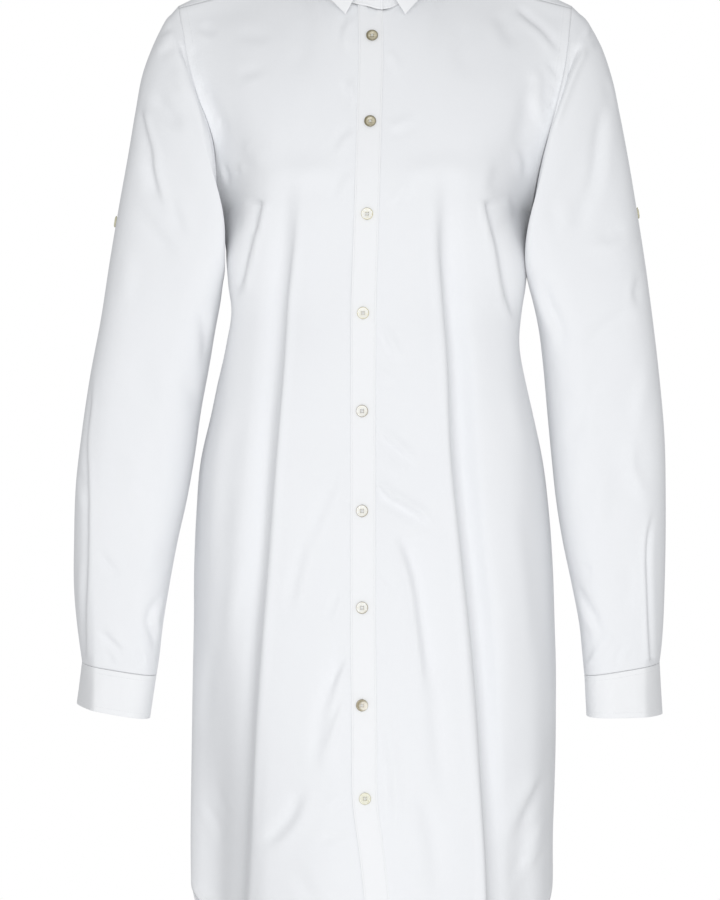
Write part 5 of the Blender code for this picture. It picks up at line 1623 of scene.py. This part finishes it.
@dataclass(frozen=True)
class Poplin:
    """Crisp white cotton poplin with its threads, its sewn-in edges and a faint unevenness."""

    white: tuple[float, float, float] = (0.870, 0.880, 0.895)
    shade: tuple[float, float, float] = (0.835, 0.846, 0.866)
    roughness: float = 0.78
    sheen: float = 0.12
    thread_period: float = 0.00038
    thread_height: float = 0.000005
    step_height: float = 0.00010
    groove_height: float = 0.00006
    pucker_height: float = 0.00022
    crumple_height: float = 0.00016
    crumple_scale: float = 62.0
    pucker_scale: float = 150.0
    tone_scale: float = 9.0
    slub_stretch: tuple[float, float] = (1600.0, 60.0)

    def made(self, name: str) -> bpy.types.Material:
        """Make the material."""
        shader = Shader(name)
        threads = shader.node("ShaderNodeUVMap", {"uv_map": "threads"}).outputs[0]
        place = shader.node("ShaderNodeTexCoord").outputs["Object"]
        seam_node = shader.node("ShaderNodeAttribute", {"attribute_name": "seam_share"})
        seam = Value(shader, seam_node.outputs["Fac"])
        axes = shader.node("ShaderNodeSeparateXYZ", {}, {0: threads}).outputs
        warp, weft = (shader.sum("SINE", Value(shader, axes[i]) * (math.tau / self.thread_period), 0.0)
                      for i in (0, 1))
        warp_slubs, weft_slubs = (shader.noise(shader.stretched(threads, (*stretch, 1)), 1.0)
                                  for stretch in (self.slub_stretch, self.slub_stretch[::-1]))
        slubs = warp_slubs + weft_slubs
        crumple = shader.noise(place, self.crumple_scale, 3.0)
        weave = (warp * weft) * self.thread_height + (slubs - 1.0) * (self.thread_height * 1.5)
        step = (1.0 - shader.ease(seam, 1.1, 1.35)) * self.step_height
        beside = seam - 1.0
        groove = shader.sum("EXPONENT", beside * beside * -30.0, 0.0)
        pull = shader.sum("EXPONENT", beside * beside * -1.6, 0.0)
        puckers = (shader.noise(place, self.pucker_scale, 1.5) - 0.5) * pull * self.pucker_height
        height = weave + step - groove * self.groove_height + puckers + crumple * self.crumple_height
        turned_in = 1.0 - shader.ease(seam, 1.1, 1.3)
        tone = shader.noise(place, self.tone_scale, 3.0) * 0.6 + slubs * 0.25 - turned_in * 0.5
        shader.feed(shader.principled, {
            "Base Color": shader.mixed(shader.ease(tone, 0.2, 1.2), self.white, self.shade),
            "Roughness": self.roughness + (crumple - 0.5) * 0.12,
            "Sheen Weight": self.sheen,
            "Sheen Roughness": 0.5,
            "Specular IOR Level": 0.3,
            "Normal": shader.bump(height),
        })
        return shader.material


@dataclass(frozen=True)
class Shell:
    """Shell button: a pale clouded face, a darker rim wider on one side, and painted shade round its holes.
    """

    face: tuple[float, float, float] = (0.92, 0.92, 0.89)
    cloud: tuple[float, float, float] = (0.90, 0.87, 0.76)
    rim: tuple[float, float, float] = (0.42, 0.38, 0.28)
    # Colour painted round the holes: painted shadow, darker than the face, on all but the olive shell
    hole_shade: tuple[float, float, float] = (0.30, 0.23, 0.15)
    rim_start: float = 0.80
    rim_end: float = 0.97
    rim_shift: tuple[float, float] = (-0.04, 0.03)
    hole_place: float = 0.185
    coat: float = 0.6

    def made(self, name: str) -> bpy.types.Material:
        """Make the material."""
        shader = Shader(name)
        face = shader.node("ShaderNodeUVMap", {"uv_map": "face"}).outputs[0]
        place = shader.node("ShaderNodeTexCoord").outputs["Object"]
        clouds = shader.noise(shader.stretched(place, (300, 300, 700)), 1.0, 3.0)
        shifted = shader.vector("ADD", face, (*self.rim_shift, 0.0)).outputs[0]
        out = Value(shader, shader.vector("LENGTH", shifted, (0.0, 0.0, 0.0)).outputs["Value"])
        # Mask of the painted shadow round the four holes
        quarter = shader.vector("ABSOLUTE", face, (0.0, 0.0, 0.0)).outputs[0]
        beside = shader.vector("DISTANCE", quarter, (self.hole_place, self.hole_place, 0.0)).outputs["Value"]
        hole_shade_mask = 1.0 - shader.ease(Value(shader, beside), 0.08, 0.15)
        # Mask of the rim colour: towards the edge, reaching further in on one side, with a ragged inner edge
        rim_mask = shader.ease(out + (clouds - 0.5) * 0.16, self.rim_start, self.rim_end)
        pale = shader.mixed(shader.ease(clouds, 0.35, 0.72), self.face, self.cloud)
        rimmed = shader.mixed(rim_mask, pale, self.rim)
        shader.feed(shader.principled, {
            "Base Color": shader.mixed(hole_shade_mask, rimmed, self.hole_shade),
            "Roughness": 0.2 + clouds * 0.2,
            "Coat Weight": self.coat + (clouds - 0.5) * 0.3,
            "Coat Roughness": 0.12,
            "Specular IOR Level": 0.6,
            "Normal": shader.bump(clouds * 0.00003),
        })
        return shader.material


@dataclass(frozen=True)
class SewingThread:
    """White sewing thread with its twist."""

    white: tuple[float, float, float] = (0.86, 0.87, 0.88)
    shade: tuple[float, float, float] = (0.74, 0.75, 0.77)

    def made(self, name: str) -> bpy.types.Material:
        """Make the material."""
        shader = Shader(name)
        place = shader.node("ShaderNodeTexCoord").outputs["Object"]
        twist = shader.noise(place, 2600.0, 1.0)
        shader.feed(shader.principled, {
            "Base Color": shader.mixed(shader.ease(twist, 0.35, 0.75), self.white, self.shade),
            "Roughness": 0.5 + twist * 0.2,
            "Sheen Weight": 0.2,
            "Normal": shader.bump(twist * 0.00004),
        })
        return shader.material


@dataclass(frozen=True)
class Stitching:
    """Rows of machine stitches laid on the cloth."""

    pitch: float = 2.7
    length: float = 2.35
    half_width: float = 0.21
    half_height: float = 0.13
    lift: float = 0.0

    def row(self, work: "ThreadWork", places: np.ndarray, facing: np.ndarray) -> None:
        """Lay one row of stitches along a line on the cloth.

        Args:
            work: What takes them.
            places: Points of the line.
            facing: Outward direction at each point.
        """
        walked = np.concatenate([[0.0], np.cumsum(np.linalg.norm(np.diff(places, axis=0), axis=1))])
        for i in range(int(walked[-1] / self.pitch)):
            start = self.pitch * (i + 0.5) - self.length / 2
            a, b, out = (np.array([np.interp(at, walked, source[:, k]) for k in range(3)])
                         for at, source in ((start, places), (start + self.length, places),
                                            (start + self.length / 2, facing)))
            self.stitch(work, a, b, out)

    def stitch(self, work: "ThreadWork", a: np.ndarray, b: np.ndarray, out: np.ndarray) -> None:
        """Add one stitch from a to b, as a grain of thread with a few faces."""
        along = Vector(b - a)
        x_axis = along.normalized()
        y_axis = Vector(out).cross(x_axis).normalized()
        z_axis = x_axis.cross(y_axis)
        turn = Matrix((x_axis, y_axis, z_axis)).transposed().to_4x4()
        size = Matrix.Diagonal((along.length / 2 * MM, self.half_width * MM, self.half_height * MM, 1.0))
        centre = (Vector((a + b) / 2) + z_axis * self.lift) * MM
        work.grain(Matrix.Translation(centre) @ turn @ size)


class ThreadWork:
    """Many small grains of thread, gathered into one mesh a few at a time, which keeps each step quick."""

    batch: int = 24

    def __init__(self) -> None:
        """Start with nothing."""
        self.whole = bmesh.new()
        self.part = bmesh.new()
        self.count = 0

    def grain(self, place: Matrix) -> None:
        """Add one grain of thread."""
        bmesh.ops.create_uvsphere(self.part, u_segments=6, v_segments=4, radius=1.0, matrix=place)
        self.count += 1
        if self.count % self.batch == 0:
            self.gather()

    def gather(self) -> None:
        """Move the last grains to the whole."""
        joined(self.part, self.whole)
        self.part = bmesh.new()

    def closed(self) -> bmesh.types.BMesh:
        """Give the whole."""
        self.gather()
        self.part.free()
        return self.whole


def joined(part: bmesh.types.BMesh, whole: bmesh.types.BMesh) -> None:
    """Move one bmesh's shape into another and free the first."""
    mesh = bpy.data.meshes.new("joined")
    part.to_mesh(mesh)
    part.free()
    whole.from_mesh(mesh)
    bpy.data.meshes.remove(mesh)


def finished(name: str, bm: bmesh.types.BMesh, material: bpy.types.Material) -> bpy.types.Object:
    """Turn a bmesh into a piece that rides on the dress.

    Args:
        name: The piece's name.
        bm: The mesh, which is freed.
        material: Its finish.

    Returns:
        The object.
    """
    mesh = bpy.data.meshes.new(name)
    bm.to_mesh(mesh)
    bm.free()
    mesh.shade_smooth()
    mesh.materials.append(material)
    item = placed(name, mesh)
    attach(item, "root")
    return item


@dataclass(frozen=True)
class Button:
    """Four-hole shell button, turned with a raised rim and a dish, and sewn on with crossed thread."""

    radius: float = 5.5
    thickness: float = 2.3
    dish_radius: float = 3.5
    dish_depth: float = 0.7
    hole_radius: float = 0.62
    hole_offset: float = 1.0
    segments: int = 40

    def rim(self) -> tuple[tuple[float, float], ...]:
        """Half section of the rim from the dish over the edge to the underside."""
        r, t = self.radius, self.thickness
        dish = t - self.dish_depth
        return ((self.dish_radius, dish), (self.dish_radius + 0.35, dish + 0.12), (r * 0.74, t - 0.16),
                (r * 0.8, t), (r * 0.89, t), (r * 0.96, t - 0.22), (r, t - 0.65), (r * 0.99, t * 0.45),
                (r * 0.9, t * 0.16), (r * 0.76, 0.0), (self.dish_radius, 0.0))

    def disc(self, bm: bmesh.types.BMesh, height: float) -> list[list[bmesh.types.BMEdge]]:
        """Fill the middle at a height, leaving four holes, and give the holes' edges."""
        before = set(bm.edges)
        loops = []
        for x in (-self.hole_offset, self.hole_offset):
            for y in (-self.hole_offset, self.hole_offset):
                place = Matrix.Translation((x * MM, y * MM, height * MM))
                known = set(bm.edges)
                bmesh.ops.create_circle(bm, segments=12, radius=self.hole_radius * MM, matrix=place)
                loops.append([edge for edge in bm.edges if edge not in known])
        ring = [edge for edge in before if edge.is_boundary
                and all(abs(vert.co.z - height * MM) < 1e-7 for vert in edge.verts)]
        bmesh.ops.triangle_fill(bm, use_beauty=True, edges=ring + [edge for loop in loops for edge in loop])
        return loops

    def mesh(self) -> bmesh.types.BMesh:
        """Make the button lying on its back at the origin."""
        bm = bmesh.new()
        section = [bm.verts.new((r * MM, 0.0, z * MM)) for r, z in self.rim()]
        edges = [bm.edges.new(pair) for pair in zip(section, section[1:])]
        bmesh.ops.spin(bm, geom=section + edges, cent=(0, 0, 0), axis=(0, 0, 1), angle=math.tau,
                       steps=self.segments, use_merge=True)
        bmesh.ops.remove_doubles(bm, verts=bm.verts, dist=1e-7)
        upper = self.disc(bm, self.thickness - self.dish_depth)
        lower = self.disc(bm, 0.0)
        for top, bottom in zip(upper, lower):
            bmesh.ops.bridge_loops(bm, edges=top + bottom)
        bmesh.ops.recalc_face_normals(bm, faces=bm.faces)
        face_map = bm.loops.layers.uv.new("face")
        for face in bm.faces:
            for loop in face.loops:
                loop[face_map].uv = loop.vert.co.xy / (self.radius * MM)
        return bm

    def thread(self) -> bmesh.types.BMesh:
        """Make the crossed thread over the holes."""
        bm = bmesh.new()
        reach = math.hypot(self.hole_offset, self.hole_offset) - 0.1
        height = self.thickness - self.dish_depth
        for turn in (math.pi / 4, -math.pi / 4):
            for shift in (-0.14, 0.14):
                place = Matrix.Translation((0, 0, (height + 0.02 + 0.12 * (turn > 0)) * MM)) \
                    @ Matrix.Rotation(turn, 4, "Z") @ Matrix.Translation((0, shift * MM, 0)) \
                    @ Matrix.Diagonal((reach * MM, 0.16 * MM, 0.3 * MM, 1.0))
                bmesh.ops.create_uvsphere(bm, u_segments=12, v_segments=8, radius=1.0, matrix=place)
        return bm


@dataclass(frozen=True)
class Buttonhole:
    """Close stitches round the slit behind a button."""

    half_length: float = 5.4
    half_width: float = 1.15
    step: float = 0.62

    def sew(self, work: ThreadWork, centre: np.ndarray, along: np.ndarray, out: np.ndarray) -> None:
        """Lay the stitches.

        Args:
            work: What takes them.
            centre: Middle of the slit on the cloth.
            along: Direction of the slit.
            out: Outward direction of the cloth.
        """
        across = unit(np.cross(out, along))
        thread = Stitching(half_width=0.2, half_height=0.17, lift=0.12)
        count = int(self.half_length / self.step)
        for i in range(-count, count + 1):
            at = centre + along * (i * self.step)
            for side in SIDES:
                inner, outer = at + across * side * 0.2, at + across * side * self.half_width
                thread.stitch(work, inner, outer, out)
        for end in SIDES:
            for k in range(3):
                at = centre + along * end * (self.half_length + 0.15 + k * 0.3)
                thread.stitch(work, at - across * self.half_width, at + across * self.half_width, out)


@dataclass(frozen=True)
class SheetPlan:
    """How one cloth is sewn at its edges, how it is held and what it hangs from."""

    sewn: tuple[Sewn, ...] = ()
    held: str = "hung"
    rests_on: tuple[str, ...] = ()


class ShellShade(Enum):
    """The natural shades of the shell buttons; the colour round the holes is painted shade, pale on the
    olive one.
    """

    OLIVE = Shell(face=(0.50, 0.45, 0.31), cloud=(0.72, 0.67, 0.50), rim=(0.20, 0.17, 0.09),
                  hole_shade=(0.84, 0.80, 0.66), rim_start=0.62, rim_end=0.9, rim_shift=(0.08, -0.06))
    CREAM = Shell(rim=(0.66, 0.61, 0.40), cloud=(0.92, 0.89, 0.74), hole_shade=(0.62, 0.56, 0.38))
    PALE = Shell()
    HALF = Shell(face=(0.88, 0.83, 0.72), rim=(0.33, 0.28, 0.17), rim_start=0.5, rim_end=0.9,
                 rim_shift=(0.26, -0.1), hole_shade=(0.66, 0.45, 0.22))
    STRAW = Shell(face=(0.87, 0.86, 0.74), cloud=(0.82, 0.80, 0.60), rim=(0.68, 0.65, 0.46),
                  hole_shade=(0.64, 0.60, 0.42))


class Finishes:
    """Every finish of the dress, made once."""

    def __init__(self) -> None:
        """Make the materials."""
        self.cloth = Poplin().made("white_poplin")
        self.firm_cloth = Poplin(white=(0.885, 0.892, 0.902), shade=(0.865, 0.873, 0.888), roughness=0.72,
                                 crumple_height=0.00007).made("lined_white_poplin")
        self.thread = SewingThread().made("white_sewing_thread")
        self.shells = {shade: shade.value.made(f"{shade.name.lower()}_shell") for shade in ShellShade}


class Tailoring:
    """Finishes, stitches and sheet facts of the cloth pieces."""

    seam_inset: float = 7.5
    hem_inset: float = 8.5
    band_inset: float = 1.6
    cuff_inset: float = 5.0
    collar_inset: float = 5.0
    edge_inset: float = 2.0

    def __init__(self, body: DressBody, finishes: Finishes) -> None:
        """Keep the body and the finishes."""
        self.body = body
        self.finishes = finishes

    def plans(self) -> dict[str, SheetPlan]:
        """Give each cloth's plan."""
        hem = sewn_edges(self.hem_inset, Edge.BOTTOM)
        back_arms = tuple(Sewn(edge, self.seam_inset, stop=ARM_BACK_ROWS) for edge in (Edge.START, Edge.END))
        yoke_back = (Sewn(Edge.BOTTOM, self.edge_inset, YOKE_ARM_COLUMNS, -YOKE_ARM_COLUMNS),
                     Sewn(Edge.BOTTOM, self.seam_inset, 0, YOKE_ARM_COLUMNS),
                     Sewn(Edge.BOTTOM, self.seam_inset, -YOKE_ARM_COLUMNS))
        plans = {
            "back": SheetPlan(hem + back_arms, "hung", ("yoke",)),
            "yoke": SheetPlan(sewn_edges(self.edge_inset, Edge.START, Edge.END) + yoke_back, "stretched"),
            "placket": SheetPlan(sewn_edges(self.band_inset, Edge.START, Edge.END),
                                 "hung", ("front_left", "collar_stand")),
            "collar_stand": SheetPlan(sewn_edges(self.edge_inset, *Edge), "stretched", ("yoke",)),
            "collar": SheetPlan(sewn_edges(self.collar_inset, Edge.BOTTOM, Edge.START, Edge.END),
                                "folded", ("collar_stand",)),
        }
        for word in SIDE_WORD.values():
            arm = (Sewn(Edge.END, self.seam_inset, stop=ARM_FRONT_ROWS),)
            plans[f"front_{word}"] = SheetPlan(hem + arm, "hung", ("yoke",))
            plans[f"sleeve_{word}"] = SheetPlan((), "gathered", (f"front_{word}", "yoke", "back"))
            plans[f"cuff_{word}"] = SheetPlan(sewn_edges(self.cuff_inset, *Edge),
                                              "hung", (f"sleeve_{word}",))
        return plans

    def build(self) -> None:
        """Build and finish every cloth, and sew it."""
        firm = ("placket", "collar", "collar_stand", "cuff_right", "cuff_left")
        for node, plan in self.plans().items():
            cloth = self.body.cloths[node]
            cloth.sewn = plan.sewn
            item = cloth.build()
            item.data.materials.append(self.finishes.firm_cloth if node in firm else self.finishes.cloth)
            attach(item, "root")
            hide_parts(node)
            width, length, area = cloth.flat_size()
            LOG.info("%s: %d faces, cut %.0f x %.0f mm, %.3f m2", cloth.name, len(item.data.polygons),
                     width / MM, length / MM, area)
            self.stitch(node, cloth)

    def stitch(self, node: str, cloth: Cloth) -> None:
        """Sew the rows of stitches of one cloth."""
        if not cloth.sewn:
            return
        machine = Stitching()
        work = ThreadWork()
        for sewn in cloth.sewn:
            places, facing = cloth.line_beside(sewn.edge, sewn.inset)
            span = slice(sewn.start, sewn.stop)
            machine.row(work, places[span], facing[span])
        finished(f"stitches_{node}", work.closed(), self.finishes.thread)
        LOG.info("stitches_%s: %d stitches", node, work.count)


class Fastenings:
    """The buttons, their thread and their buttonholes."""

    seat_gap: float = 0.15
    shades: dict[ShellShade, tuple[str, ...]] = {
        ShellShade.OLIVE: ("button_00", "button_01", "button_02"),
        ShellShade.CREAM: ("button_03", "button_04", "tab_button_left"),
        ShellShade.HALF: ("button_08", "cuff_button_right"),
        ShellShade.STRAW: ("button_09", "tab_button_right", "cuff_button_left"),
    }

    def __init__(self, body: DressBody, finishes: Finishes) -> None:
        """Keep the body and the finishes."""
        self.body = body
        self.finishes = finishes
        self.button = Button()

    def carriers(self) -> dict[str, str]:
        """Which cloth each button lies on."""
        found = {"button_00": "collar_stand"}
        found.update({f"button_{i:02d}": "placket" for i in range(1, 10)})
        for word in SIDE_WORD.values():
            found[f"tab_button_{word}"] = f"sleeve_{word}"
            found[f"cuff_button_{word}"] = f"cuff_{word}"
        return found

    def shade(self, node: str) -> ShellShade:
        """Shade of a button."""
        return next((shade for shade, names in self.shades.items() if node in names), ShellShade.PALE)

    def seat(self, node: str, cloth: Cloth) -> tuple[np.ndarray, np.ndarray]:
        """Find the point of the cloth under a button, and the way that it faces there.

        Args:
            node: The button's name.
            cloth: The cloth that carries it.

        Returns:
            The point and the outward direction.
        """
        low, high = (np.array(corner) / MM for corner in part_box(node))
        centre = (low + high) / 2
        gaps = np.linalg.norm(cloth.points - centre, axis=-1)
        r, c = np.unravel_index(np.argmin(gaps), gaps.shape)
        out = cloth.normals()[r, c]
        near = cloth.points[r, c]
        return centre - out * float(np.dot(centre - near, out)), out

    def build(self) -> None:
        """Make every button and buttonhole."""
        holes, threads = ThreadWork(), bmesh.new()
        for node, carrier in self.carriers().items():
            cloth = self.body.cloths[carrier]
            place, out = self.seat(node, cloth)
            down = unit(np.array((0.0, 0.0, -1.0)) + out * out[2])
            across = np.cross(down, out)
            turn = Matrix((across, np.cross(out, across), out)).transposed().to_4x4()
            seat = Matrix.Translation(Vector(place + out * self.seat_gap) * MM) @ turn
            bm = self.button.mesh()
            bmesh.ops.transform(bm, matrix=seat, verts=bm.verts)
            item = finished(f"shell_{node}", bm, self.finishes.shells[self.shade(node)])
            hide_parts(node)
            strand = self.button.thread()
            bmesh.ops.transform(strand, matrix=seat, verts=strand.verts)
            joined(strand, threads)
            along = across if carrier in ("collar_stand", "cuff_right", "cuff_left") else down
            Buttonhole().sew(holes, place, along, out)
            LOG.info("shell_%s: %d faces", node, len(item.data.polygons))
        finished("buttonhole_stitches", holes.closed(), self.finishes.thread)
        finished("button_thread", threads, self.finishes.thread)


@dataclass(frozen=True)
class Lamp:
    """One area light: where it is, how large and how bright."""

    name: str
    place: tuple[float, float, float]
    size: float
    power: float


@dataclass(frozen=True)
class Studio:
    """The plain pale floor, the lights and the camera."""

    eye: tuple[float, float, float] = (-0.01235, -3.6, -0.3515)
    aim: tuple[float, float, float] = (-0.01235, 0.0, -0.4655)
    middle: tuple[float, float, float] = (-0.01, 0.0, -0.45)
    sensor: float = 36.0
    view_height: float = 0.855
    floor_z: float = -1.45
    floor_radius: float = 1.6
    soft_light: float = 0.52
    lamps: tuple[Lamp, ...] = (Lamp("front", (0.0, -3.5, -0.5), 2.0, 61.0),
                               Lamp("behind", (0.6, 3.5, 0.3), 1.4, 42.0))

    def build(self) -> None:
        """Make the whole studio."""
        self.add_camera()
        self.add_floor()
        for lamp in self.lamps:
            self.add_light(lamp)
        self.add_world()
        bpy.context.scene.view_settings.view_transform = "Standard"

    def add_camera(self) -> None:
        """Add the camera at the photo's viewing angle."""
        data = bpy.data.cameras.new("view_camera")
        camera = placed("view_camera", data)
        data.sensor_width = self.sensor
        data.lens = self.sensor * abs(self.eye[1]) / self.view_height
        data.clip_end = 50.0
        camera.location = self.eye
        camera.rotation_euler = (Vector(self.aim) - Vector(self.eye)).to_track_quat("-Z", "Y").to_euler()
        bpy.context.scene.camera = camera

    def add_floor(self) -> None:
        """Add a round pale floor below the dress."""
        bm = bmesh.new()
        place = Matrix.Translation((0.0, 0.0, self.floor_z))
        bmesh.ops.create_circle(bm, cap_ends=True, segments=96, radius=self.floor_radius, matrix=place)
        mesh = bpy.data.meshes.new("pale_floor")
        bm.to_mesh(mesh)
        bm.free()
        shader = Shader("pale_paint")
        place = shader.node("ShaderNodeTexCoord").outputs["Object"]
        cloud = shader.noise(place, 2.5, 3.0)
        shader.feed(shader.principled, {
            "Base Color": shader.mixed(shader.ease(cloud, 0.3, 0.7), (0.86, 0.86, 0.86), (0.89, 0.89, 0.89)),
            "Roughness": 0.6 + cloud * 0.2,
        })
        mesh.materials.append(shader.material)
        placed("pale_floor", mesh)

    def add_light(self, lamp: Lamp) -> None:
        """Add one soft area light that looks at the dress."""
        data = bpy.data.lights.new(lamp.name, "AREA")
        data.energy, data.size = lamp.power, lamp.size
        item = placed(lamp.name, data)
        item.location = lamp.place
        turned = Vector(self.middle) - Vector(lamp.place)
        item.rotation_euler = turned.to_track_quat("-Z", "Y").to_euler()

    def add_world(self) -> None:
        """Make the world white to the camera and softer as light."""
        world = bpy.data.worlds.new("studio")
        bpy.context.scene.world = world
        world.use_nodes = True
        tree = world.node_tree
        tree.nodes.clear()
        path = tree.nodes.new("ShaderNodeLightPath")
        soft, white = (tree.nodes.new("ShaderNodeBackground") for _ in range(2))
        soft.inputs["Strength"].default_value = self.soft_light
        soft.inputs["Color"].default_value = (0.97, 0.98, 1.0, 1.0)
        white.inputs["Color"].default_value = (1.0, 1.0, 1.0, 1.0)
        mix = tree.nodes.new("ShaderNodeMixShader")
        out = tree.nodes.new("ShaderNodeOutputWorld")
        sources = (path.outputs["Is Camera Ray"], soft.outputs[0], white.outputs[0])
        for source, target in zip((*sources, mix.outputs[0]), (*mix.inputs[:3], out.inputs[0])):
            tree.links.new(source, target)


def corners(box: Sequence[Sequence[float]]) -> list[list[float]]:
    """Turn a box's lowest and highest corners into plain lists."""
    return [[float(value) for value in corner] for corner in box]


def main() -> None:
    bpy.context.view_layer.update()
    body = DressBody()
    crease_dress(body)
    finishes = Finishes()
    Tailoring(body, finishes).build()
    Fastenings(body, finishes).build()
    Studio().build()


if __name__ == "__main__":
    logging.basicConfig(level=logging.INFO, format="%(message)s")
    main()
